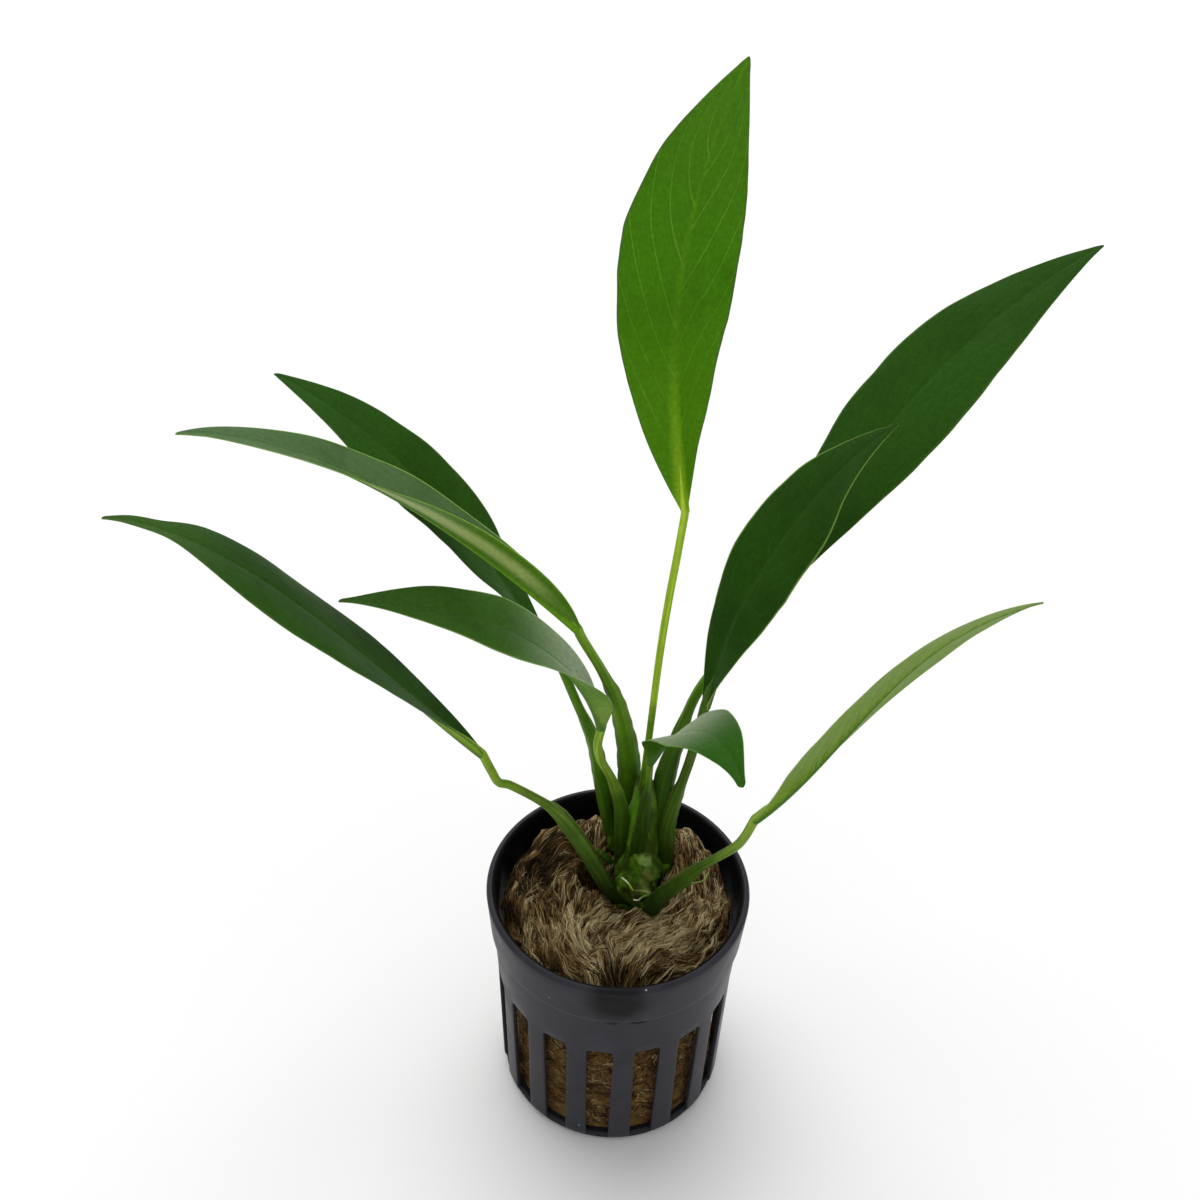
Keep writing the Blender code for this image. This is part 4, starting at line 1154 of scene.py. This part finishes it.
def stalk_path(leaf, count):
    """The stalk's middle line from its foot to the base of the midrib, and on under the blade."""
    path = smooth_path((leaf.foot, *leaf.stalk, leaf.rib[0]), 160)
    onward = blade_frame(leaf, np.linspace(0.0, 0.11, 16))[0][1:]
    return evened(np.vstack([path, onward]), count), len(path) / (len(path) + len(onward))


def stalk_frame(path, open_side):
    """Side and front directions square to a path, the front turned towards `open_side`."""
    along = unit(np.gradient(path, axis=0))
    front = open_side - (along @ open_side)[:, None] * along
    front = unit(front)
    return unit(np.cross(along, front)), front


def stalk_material(leaf):
    """Leaf stalk: living tissue with a thin waxy skin, dark at the foot and yellow-green at the top.

    Fine lengthwise streaks, dry brown along the torn edges of the sheath, and a soft gloss.
    """
    material, node = new_material("stalk_" + leaf.name)
    along, streak, dry = (node("Attribute", out="Fac", attribute_name=key)
                          for key in ("along", "streak", "dry"))
    patches = node("TexNoise", node("TexCoord", out="Object"), Scale=STALK_PATCHES, Detail=3.0, Roughness=0.6)
    drift = node("Math", patches, 0.16, -0.08, operation="MULTIPLY_ADD")
    rise = node("Math", along, drift, operation="ADD")
    body = node("ValToRGB", rise, stops=tuple(zip((0.12, *leaf.stalk_change), leaf.stalk_tones)))
    lined = node("Math", streak, patches, operation="MULTIPLY")
    lift = node("MapRange", lined, 0.05, 0.5, 0.8, 1.34)
    bright = node("HueSaturation", Color=body, Value=lift)
    torn = node("Mix", dry, bright, settings("stalk").torn_edge)
    bump = node("Bump", Height=lined, Strength=0.15, Distance=0.0001)
    return finished(material, Base_Color=torn, Normal=bump, Roughness=0.42, IOR=1.45, Specular_IOR_Level=0.08)


def make_stalk(leaf):
    """A leaf's stalk: a tube of oval section, broad where it clasps the crown and round at its top.

    At an angle a from the side that faces the crown, the section is at (deep cos a, broad sin a) times
    1 + wing (e^-((a-s)/13)^2 + e^-((a+s)/13)^2) - channel e^-(a/32)^2 + keel e^-((180-|a|)/24)^2. The
    sheath's thin edges are at s, which is less on lying stalks than on upright ones.
    """
    look = settings("stalk")
    rows, around = 130, 44
    path, reach = stalk_path(leaf, rows)
    share = np.linspace(0.0, 1.0, rows)
    up_stalk = np.clip(share / reach, 0.0, 1.0)
    foot, top = leaf.stalk_radii
    ending = 1.0 - 0.75 * smoothstep(share, reach, 1.0)
    up_sheath = up_stalk / leaf.sheath
    deep = (foot + (top - foot) * smoothstep(up_sheath, SHEATH_START, SHEATH_END)) * ending
    broad = (leaf.breadth + (top - leaf.breadth) * smoothstep(up_sheath, 0.3, SHEATH_END)) * ending
    lean = np.array(leaf.rib[0]) - np.array(leaf.foot)
    lying = np.hypot(*lean[:2]) > LYING_LEAN
    open_side = unit(np.array((-lean[0], -lean[1], 6.0)) if lying else np.array((0.0, 1.0, 0.0)))
    spread = LYING_EDGES if lying else UPRIGHT_EDGES
    side, front = stalk_frame(path, open_side)
    angle = np.linspace(-180.0, 180.0, around, endpoint=False)
    sheath = smoothstep(up_stalk, leaf.sheath * 1.04, leaf.sheath * 0.9)[:, None]
    ragged = 1.0 + 0.2 * ripple(up_stalk[:, None] * 60.0 + np.zeros((rows, 1)), 4.0, leaf.seed + 3)
    wing = look.wing / MM * (LYING_WING if lying else 1.0) * sheath * ragged[:, None] / broad[:, None]
    edges, thin = (np.exp(-((angle - spread) / width)**2) + np.exp(-((angle + spread) / width)**2)
                   for width in (13.0, 7.0))
    channel = SHEATH_CHANNEL * sheath * np.exp(-(angle / 32.0)**2)
    keel = SHEATH_KEEL * sheath * np.exp(-((180.0 - np.abs(angle)) / 24.0)**2)
    shape = 1.0 + wing * edges - channel + keel
    turn = np.radians(angle)
    field = np.stack(np.broadcast_arrays(np.cos(turn), np.sin(turn), share[:, None] * 2.2), -1)
    streak = 0.45 + 0.3 * ripple(field, 0.55, leaf.seed + 5) + 0.4 * edges * sheath
    shape = shape * (1.0 + 0.035 * ripple(field, 1.4, leaf.seed + 6))
    grid = path[:, None, :] + shape[..., None] * (
        front[:, None, :] * (deep[:, None] * np.cos(turn))[..., None]
        + side[:, None, :] * (broad[:, None] * np.sin(turn))[..., None])
    dry = np.clip(thin[None, :] * sheath * smoothstep(up_stalk, 0.12, leaf.sheath)[:, None] *
                  (0.45 + 0.8 * ripple(field, 0.8, leaf.seed + 7)), 0.0, 0.85)
    points, quads, fans = closed_tube(grid)
    fields = {"along": np.append(np.repeat(up_stalk, around), (0.0, 1.0)),
              "streak": np.append(streak.ravel(), (0.5, 0.5)), "dry": np.append(dry.ravel(), (0.0, 0.0))}
    mesh = new_mesh("stalk_" + leaf.name, points, quads, fans, fields)
    face_outwards(mesh)
    add_piece("stalk_" + leaf.name, mesh, [stalk_material(leaf)], "petiole_" + leaf.name)


def leaf_material(leaf, under):
    """Leaf blade: leathery tissue under a thin wax, deep green, with paler veins in it.

    The veins follow the blade's own attributes: `phase` counts side veins from base to tip, `rib` is
    the distance from the midrib in millimetres, and `along` and `margin` run from 0 to 1.
    """
    look = settings("leaf")
    if under:
        light, dark, vein = leaf.under, leaf.under, leaf.under_vein
        near, near_end = leaf.under_near or leaf.stalk_tones[2], 0.2
        fibres, fibre_share = 2.0, 0.6
    else:
        light, dark, vein, near, near_end = leaf.upper, leaf.deep, leaf.vein, leaf.near, leaf.near_end
        fibres, fibre_share = 5.0, 0.14
    material, node = new_material(("leaf_under_" if under else "leaf_upper_") + leaf.name)
    place = node("TexCoord", out="Object")
    phase, off_rib, along, margin = (node("Attribute", out="Fac", attribute_name=key)
                                     for key in ("phase", "rib", "along", "margin"))
    clouds = node("TexNoise", place, Scale=LEAF_CLOUDS, Detail=4.0, Roughness=0.6)
    body = node("Mix", node("MapRange", clouds, 0.42, 0.66, 0.0, 0.75, **SMOOTH), light, dark)
    if under and leaf.under_edge:
        outer = node("MapRange", apart(node, margin, 0.45), 0.06, 0.36, **SMOOTH)
        body = node("Mix", outer, body, leaf.under_edge)
    base = node("MapRange", along, 0.3 * near_end, near_end, 0.9, 0.0, **SMOOTH)
    tip = node("MapRange", along, 0.6, 1.0, 0.0, 0.8, **SMOOTH)
    lines = []
    fibre = node("Math", phase, fibres, operation="MULTIPLY")
    for source, width, amount in ((phase, 0.045, 1.0), (fibre, 0.22, fibre_share)):
        off = apart(node, node("Math", source, operation="FRACT"), 0.5)
        lines.append(node("MapRange", off, 0.0, width, amount * leaf.veined, 0.0, **SMOOTH))
    veins = node("Math", *lines, operation="MAXIMUM")
    veins = node("Math", veins, node("MapRange", clouds, 0.3, 0.6, 1.0, 0.45), operation="MULTIPLY")
    rim = node("MapRange", margin, 0.955, 0.985, 0.0, 0.7)
    width = node("MapRange", along, 0.0, 0.75, *leaf.rib_width)
    rib = node("MapRange", node("Math", off_rib, width, operation="DIVIDE"), 0.15, 1.0, 0.9, 0.0, **SMOOTH)
    rib = node("Math", rib, node("MapRange", along, *leaf.rib_fade, 1.0, leaf.rib_end), operation="MULTIPLY")
    # `near` is a painted grey sheen on some leaves and the base's own tone on others
    for share, tone in ((base, near), (tip, leaf.tip), (veins, vein), (rim, leaf.rim),
                        (rib, leaf.rib_colour)):
        body = node("Mix", share, body, tone)
    pores = node("TexNoise", place, Scale=LEAF_PORES, Detail=2.0)
    body = node("HueSaturation", Color=body, Value=node("MapRange", pores, 0.35, 0.7, 0.9, 1.12))
    wax = node("MapRange", clouds, 0.3, 0.7, look.roughness - 0.05, look.roughness + 0.08)
    relief = node("Math", pores, veins, operation="SUBTRACT")
    bump = node("Bump", Height=relief, Strength=0.15, Distance=0.00008)
    return finished(material, Base_Color=body, Roughness=wax, Normal=bump, IOR=1.45,
                    Specular_IOR_Level=look.gloss)


def blade_frame(leaf, t):
    """Along the midrib at shares t: its place, the directions across and up, half width and fold.

    The midrib is a cubic, and the directions stand square to it, turned by the twist. The half width is
    half_width sin(pi t^bend) to a power that changes from base to tip. Away from the base the midrib
    is raised by a share of the fold's height, which flattens the blade between its margins.
    """
    rib = at_thirds(leaf.rib, t)
    along = unit(np.gradient(rib, axis=0))
    side = unit(np.cross(along, np.array(leaf.face)))
    up = np.cross(side, along)
    twist = np.radians(at_halves(leaf.twist, t))[:, None]
    side, up = side * np.cos(twist) + up * np.sin(twist), up * np.cos(twist) - side * np.sin(twist)
    bend = math.log(0.5) / math.log(leaf.widest)
    power = leaf.taper[0] + (leaf.taper[1] - leaf.taper[0]) * t
    width = leaf.half_width * np.clip(np.sin(np.pi * t**bend), 0.0, 1.0) ** power
    width = width * (1.0 - leaf.pinch * np.exp(-((t - PINCH_PLACE) / PINCH_REACH)**2))
    base_width = 0.9 * leaf.stalk_radii[1]
    least = base_width + (leaf.tip_width - base_width) * t
    width = np.sqrt(width**2 + least**2) * np.sqrt(1.0 - 0.97 * np.clip((t - 0.985) / 0.015, 0.0, 1.0)**2)
    fold = np.radians(at_halves(leaf.fold, t))
    height = width * np.sin(fold)
    raised = leaf.flatness * height * smoothstep(t, 0.0, 0.3)
    return rib + up * raised[:, None], side, up, width, fold, height - raised


def blade_middle(leaf, t, across):
    """The blade's middle surface, its upward normals and its half widths.

    With v the distance from the midrib as a share of the half width, each half rises by the fold, rounded
    at the midrib as sqrt(v^2 + r^2) - r, and bulges by 4 v (1 - v). Its margin waves and wanders.
    """
    rib, side, up, width, fold, height = blade_frame(leaf, t)
    v = np.abs(across)
    spot = np.stack(np.broadcast_arrays(t[:, None] * 75.0, np.sign(across)[None, :] * 40.0), -1)
    wave = leaf.wave * v**2 * np.sin(np.pi * t)[:, None] * ripple(spot, 22.0, leaf.seed)
    wander = 0.015 * ripple(spot, 13.0, leaf.seed + 80) + 0.004 * ripple(spot, 5.0, leaf.seed + 81)
    edge = 1.0 + wander * v * smoothstep(t, 0.06, 0.25)[:, None]
    reach = across * (width * np.cos(fold))[:, None] * (1.0 - leaf.skew * np.sign(across)) * edge
    rounded = (np.sqrt(v**2 + ROUNDED_FOLD**2) - ROUNDED_FOLD) * (1.0 + ROUNDED_FOLD)
    lift = rounded * height[:, None] + 4 * BULGE * (width * np.cos(fold))[:, None] * (v * (1 - v)) + wave
    surface = rib[:, None, :] + side[:, None, :] * reach[..., None] + up[:, None, :] * lift[..., None]
    normal = unit(np.cross(np.gradient(surface, axis=1), np.gradient(surface, axis=0)))
    flip = np.sign((normal * up[:, None, :]).sum(-1, keepdims=True))
    return surface, normal * flip, width


def make_blade(leaf):
    """A leaf's blade: a closed thin solid round its middle surface, with veins pressed into its top.

    Rows stand closer towards the tip, at t = s + crowding s (1 - s). Side veins lie where
    phase = (t - slant v - curve v^2) length / spacing passes a half. The underside carries the midrib
    as a round ridge that thins towards the tip.
    """
    look = settings("leaf")
    rows, half_columns = 170, 27
    share = np.linspace(0.0, 1.0, rows)
    t = (1.0 + ROW_CROWDING) * share - ROW_CROWDING * share**2
    spread = np.linspace(0.0, 1.0, half_columns) ** 1.15
    across = np.concatenate([-spread[::-1], spread[1:]])
    surface, normal, width = blade_middle(leaf, t, across)
    v = np.abs(across)[None, :]
    offset = v * width[:, None]
    length_mm = np.linalg.norm(np.diff(at_thirds(leaf.rib, np.linspace(0, 1, 60)), axis=0), axis=1).sum()
    count = length_mm / (look.vein_spacing / MM)
    jitter = 0.12 * ripple(np.stack(np.broadcast_arrays(t[:, None] * 60.0, across[None, :] * 14.0), -1), 18.0,
                           leaf.seed + 40)
    shift = np.where(across > 0, 0.45, 0.0)[None, :]
    phase = (t[:, None] - VEIN_SLANT * v - VEIN_CURVE * v**2) * count + jitter + shift
    gap = np.abs(phase - np.floor(phase) - 0.5)
    groove = np.exp(-(gap / VEIN_GROOVE)**2) * smoothstep(v, 0.03, 0.15) * smoothstep(v, 1.0, 0.8)
    half = look.thickness / MM / 2 * (1.0 - 0.65 * v**2) * (1.0 - 0.6 * smoothstep(t, 0.93, 1.0))[:, None]
    quilt = 0.5 * (1 - np.cos(2 * np.pi * (phase - 0.5))) * smoothstep(v, 0.0, 0.3) * smoothstep(v, 1.0, 0.7)
    depth = look.vein_depth / MM
    top = half + depth * (0.3 * quilt - groove) - 0.06 * np.exp(-(offset / 0.45)**2)
    ridge = leaf.stalk_radii[1] * (1.0 - 0.80 * smoothstep(t, 0.0, 0.75))[:, None]
    spine = ridge * np.exp(-(offset / (0.75 * ridge + 0.15))**2)
    bottom = half - 0.6 * depth * quilt + 0.5 * depth * groove + spine
    upper = surface + normal * top[..., None]
    lower = surface - normal * bottom[..., None]
    ring = np.concatenate([upper, lower[:, ::-1]], axis=1)
    points, quads, fans = closed_tube(ring)
    per = ring.shape[1]
    fields = {}
    for key, values in (("phase", phase), ("rib", offset), ("margin", v + 0 * offset),
                        ("along", t[:, None] + 0 * offset)):
        flat = np.concatenate([values, values[:, ::-1]], axis=1)
        fields[key] = np.append(flat.ravel(), (flat[0].mean(), flat[-1].mean()))
    mesh = new_mesh("blade_" + leaf.name, points, quads, fans, fields)
    faces = np.zeros(len(mesh.polygons), np.int32)
    around = np.tile(np.arange(per), rows - 1)
    faces[:len(quads)] = (around >= len(across) - 1).astype(np.int32)
    mesh.polygons.foreach_set("material_index", faces)
    face_outwards(mesh)
    add_piece("leaf_" + leaf.name, mesh, [leaf_material(leaf, False), leaf_material(leaf, True)],
              "blade_" + leaf.name)


def add_marks(node, body, place, marks, ragged):
    """Lays soft-edged spots over a colour.

    Each mark is a centre in millimetres, a reach, a flatness in height and a hex code. A noise shifts
    the places by up to `ragged` metres, so that the larger spots' edges are irregular.
    """
    warp = node("TexNoise", place, Scale=MARK_EDGES, Detail=3.0, out="Color")
    warp = node("VectorMath", warp, (0.5, 0.5, 0.5), operation="SUBTRACT")
    warp = node("VectorMath", warp, (ragged * 2,) * 3, operation="MULTIPLY")
    warped = node("VectorMath", place, warp, operation="ADD")
    for spot, reach, flat, tone in marks:
        centre = tuple(v * MM for v in spot)
        at = node("VectorMath", warped if reach > 0.5 else place, centre, operation="SUBTRACT")
        at = node("VectorMath", at, (1.0, 1.0, 1.0 / flat), operation="MULTIPLY")
        off = node("VectorMath", at, operation="LENGTH")
        near = node("MapRange", off, 0.35 * reach * MM, reach * MM, 0.9, 0.0, **SMOOTH)
        body = node("Mix", near, body, tone)
    return body


def crown_material():
    """Rhizome: green stem tissue with pale scars where leaves were, and dry brown patches.

    The skin is wet in places, which gives small highlights. The darkest spots at its foot are painted shade.
    """
    look = settings("crown")
    material, node = new_material("rhizome_skin")
    place = node("TexCoord", out="Object")
    tall = node("Mapping", place, Scale=(1.0, 1.0, 0.35))
    blotch = node("TexNoise", tall, Scale=SKIN_BLOTCHES, Detail=4.0, Roughness=0.6)
    body = node("Mix", node("MapRange", blotch, 0.42, 0.66, **SMOOTH), look.skin, look.young)
    patch = node("TexNoise", tall, Scale=SKIN_CORK, Detail=5.0, Roughness=0.7)
    dry = node("MapRange", patch, 0.60, 0.70, 0.0, 0.75, **SMOOTH)
    body = add_marks(node, node("Mix", dry, body, look.cork), place, CROWN_MARKS, 0.0016)
    wet = node("MapRange", patch, 0.3, 0.6, 0.22, 0.5)
    bump = node("Bump", Height=patch, Strength=0.6, Distance=0.0002)
    return finished(material, Base_Color=body, Roughness=wet, Normal=bump, IOR=1.45, Specular_IOR_Level=0.07)


def ball(centre, radii, rings=14, around=20):
    """A closed ellipsoid as points, four-sided faces and fans."""
    polar = np.linspace(0.12, np.pi - 0.12, rings)[:, None]
    turn = np.linspace(0.0, 2 * np.pi, around, endpoint=False)[None, :]
    wide = np.sin(polar)
    grid = np.stack([wide * np.cos(turn), wide * np.sin(turn), np.cos(polar) + 0 * turn], -1)
    return closed_tube(grid * np.array(radii) + np.array(centre))


def tube(path, radii, around=18):
    """A closed round tube along a path."""
    along = unit(np.gradient(path, axis=0))
    side = unit(np.cross(along, (0.3, 0.2, 1.0)))
    up = np.cross(side, along)
    turn = np.linspace(0.0, 2 * np.pi, around, endpoint=False)
    grid = path[:, None, :] + np.asarray(radii)[:, None, None] * (
        side[:, None, :] * np.cos(turn)[None, :, None] + up[:, None, :] * np.sin(turn)[None, :, None])
    return closed_tube(grid)


def joined(shapes):
    """Several closed shapes as one set of points, four-sided faces and triangles."""
    first = np.cumsum([0] + [len(points) for points, _, _ in shapes])
    return (np.vstack([points for points, _, _ in shapes]),
            np.vstack([quads + n for (_, quads, _), n in zip(shapes, first)]),
            np.vstack([fans + n for (_, _, fans), n in zip(shapes, first)]))


def make_crown():
    """The rhizome: a ringed tube, the young stem inside the sheaths and its scars, in one skin.

    The shapes overlap, and a voxel remesh joins them before they are smoothed.
    """
    share = np.linspace(0.0, 1.0, 40)
    places = np.linspace(0.0, 1.0, len(RHIZOME_RADII))
    radii = np.interp(share, places, RHIZOME_RADII) * (1.0 + 0.05 * np.sin(share * 40.0))
    shapes = [tube(smooth_path(RHIZOME_PATH, 40), radii, 32)]
    places = np.linspace(0.0, 1.0, len(TRUNK_RADII))
    radii = np.interp(share, places, TRUNK_RADII)
    points, quads, fans = tube(smooth_path(TRUNK_PATH, 40), radii, 40)
    for axis, seed in enumerate((91, 92)):
        points[:, axis] += 0.3 * ripple(points * (1.0, 1.0, 0.2), 3.0, seed)
    shapes.append((points, quads, fans))
    for centre, size in SCARS:
        points, quads, fans = ball(centre, size)
        rough = np.stack([ripple(points, 1.6, seed) for seed in (93, 94, 95)], -1)
        shapes.append((points + 0.4 * rough, quads, fans))
    for leaf in LEAVES:
        line = smooth_path((leaf.foot, *leaf.stalk, leaf.rib[0]), 160)
        run = np.linalg.norm(line - line[0], axis=1)
        collar = evened(line[run < 5.0], 10)
        shapes.append(tube(collar, leaf.breadth * np.linspace(1.3, 0.7, 10)))
    mesh = new_mesh("crown", *joined(shapes))
    obj = add_piece("crown", mesh, [crown_material()], "rhizome")
    remesh = obj.modifiers.new("skin", "REMESH")
    remesh.mode = "VOXEL"
    remesh.voxel_size = SKIN_VOXEL * MM
    remesh.use_smooth_shade = True
    smooth = obj.modifiers.new("soften", "SMOOTH")
    smooth.factor = 0.6
    smooth.iterations = 5


def root_material(name, start, end):
    """Young root: pale moist tissue, smooth, with its own colour at each end."""
    material, node = new_material(name)
    along = node("Attribute", out="Fac", attribute_name="along")
    body = node("ValToRGB", along, stops=((0.15, start), (0.6, end)))
    return finished(material, Base_Color=body, Roughness=0.4, IOR=1.4, Specular_IOR_Level=0.15)


def make_root(name, node, radius, start, end, points):
    """A thin tube along a smooth path, swelling and tapering a little."""
    rows, around = 40, 12
    path = evened(smooth_path(points, 120), rows)
    share = np.linspace(0.0, 1.0, rows)
    swelling = 1.0 + 0.12 * ripple(share[:, None] * 10.0, 3.0, 70)
    radii = radius * swelling * np.sin(np.pi * (0.12 + 0.76 * share)) ** 0.35
    shape, quads, fans = tube(path, radii, around)
    mesh = new_mesh(name, shape, quads, fans, {"along": np.append(np.repeat(share, around), (0.0, 1.0))})
    face_outwards(mesh)
    add_piece(name, mesh, [root_material(name + "_tissue", start, end)], node)


class MakeStage(bpy.types.Operator):
    """Build the floor, the lights and the camera"""
    bl_idname = "anubias.make_stage"
    bl_label = "Stage"

    def execute(self, context):
        make_stage()
        return {"FINISHED"}


class MakePot(bpy.types.Operator):
    """Build the slotted net pot"""
    bl_idname = "anubias.make_pot"
    bl_label = "Net pot"

    def execute(self, context):
        make_pot()
        return {"FINISHED"}


class MakeWool(bpy.types.Operator):
    """Build the rock wool plug and its combed fibres"""
    bl_idname = "anubias.make_wool"
    bl_label = "Rock wool"

    def execute(self, context):
        make_wool()
        return {"FINISHED"}


class MakeCrown(bpy.types.Operator):
    """Build the rhizome with its scars"""
    bl_idname = "anubias.make_crown"
    bl_label = "Crown"

    def execute(self, context):
        make_crown()
        return {"FINISHED"}


class MakeRoots(bpy.types.Operator):
    """Build the roots and the stub of an old leaf"""
    bl_idname = "anubias.make_roots"
    bl_label = "Roots"

    def execute(self, context):
        for root in ROOTS:
            make_root(*root)
        return {"FINISHED"}


class MakeStalks(bpy.types.Operator):
    """Build the leaf stalks"""
    bl_idname = "anubias.make_stalks"
    bl_label = "Stalks"

    def execute(self, context):
        for leaf in LEAVES:
            make_stalk(leaf)
        return {"FINISHED"}


class MakeLeaves(bpy.types.Operator):
    """Build the leaf blades"""
    bl_idname = "anubias.make_leaves"
    bl_label = "Leaves"

    def execute(self, context):
        for leaf in LEAVES:
            make_blade(leaf)
        return {"FINISHED"}


OPERATORS = (MakeStage, MakePot, MakeWool, MakeCrown, MakeRoots, MakeStalks, MakeLeaves)
GROUPS = {"stage": StageSettings, "pot": PotSettings, "wool": WoolSettings, "crown": CrownSettings,
          "stalk": StalkSettings, "leaf": LeafSettings}


class AnubiasPanel(bpy.types.Panel):
    """Lists the plant's settings and the steps that build it"""
    bl_idname = "VIEW3D_PT_potted_anubias"
    bl_label = "Potted anubias"
    bl_space_type = "VIEW_3D"
    bl_region_type = "UI"
    bl_category = "Potted anubias"

    def draw(self, context):
        for name, group in GROUPS.items():
            box = self.layout.box()
            box.label(text=name.capitalize())
            for key in group.__annotations__:
                box.prop(settings(name), key)
        for operator in OPERATORS:
            self.layout.operator(operator.bl_idname)


def register():
    for cls in (*GROUPS.values(), *OPERATORS, AnubiasPanel):
        bpy.utils.register_class(cls)
    for name, group in GROUPS.items():
        setattr(bpy.types.Scene, "anubias_" + name, bpy.props.PointerProperty(type=group))


def unregister():
    for name in GROUPS:
        delattr(bpy.types.Scene, "anubias_" + name)
    for cls in (AnubiasPanel, *reversed(OPERATORS), *reversed(list(GROUPS.values()))):
        bpy.utils.unregister_class(cls)


def main():
    register()
    bpy.ops.anubias.make_stage()
    bpy.ops.anubias.make_pot()
    bpy.ops.anubias.make_wool()
    bpy.ops.anubias.make_crown()
    bpy.ops.anubias.make_roots()
    bpy.ops.anubias.make_stalks()
    bpy.ops.anubias.make_leaves()


if __name__ == "__main__":
    main()
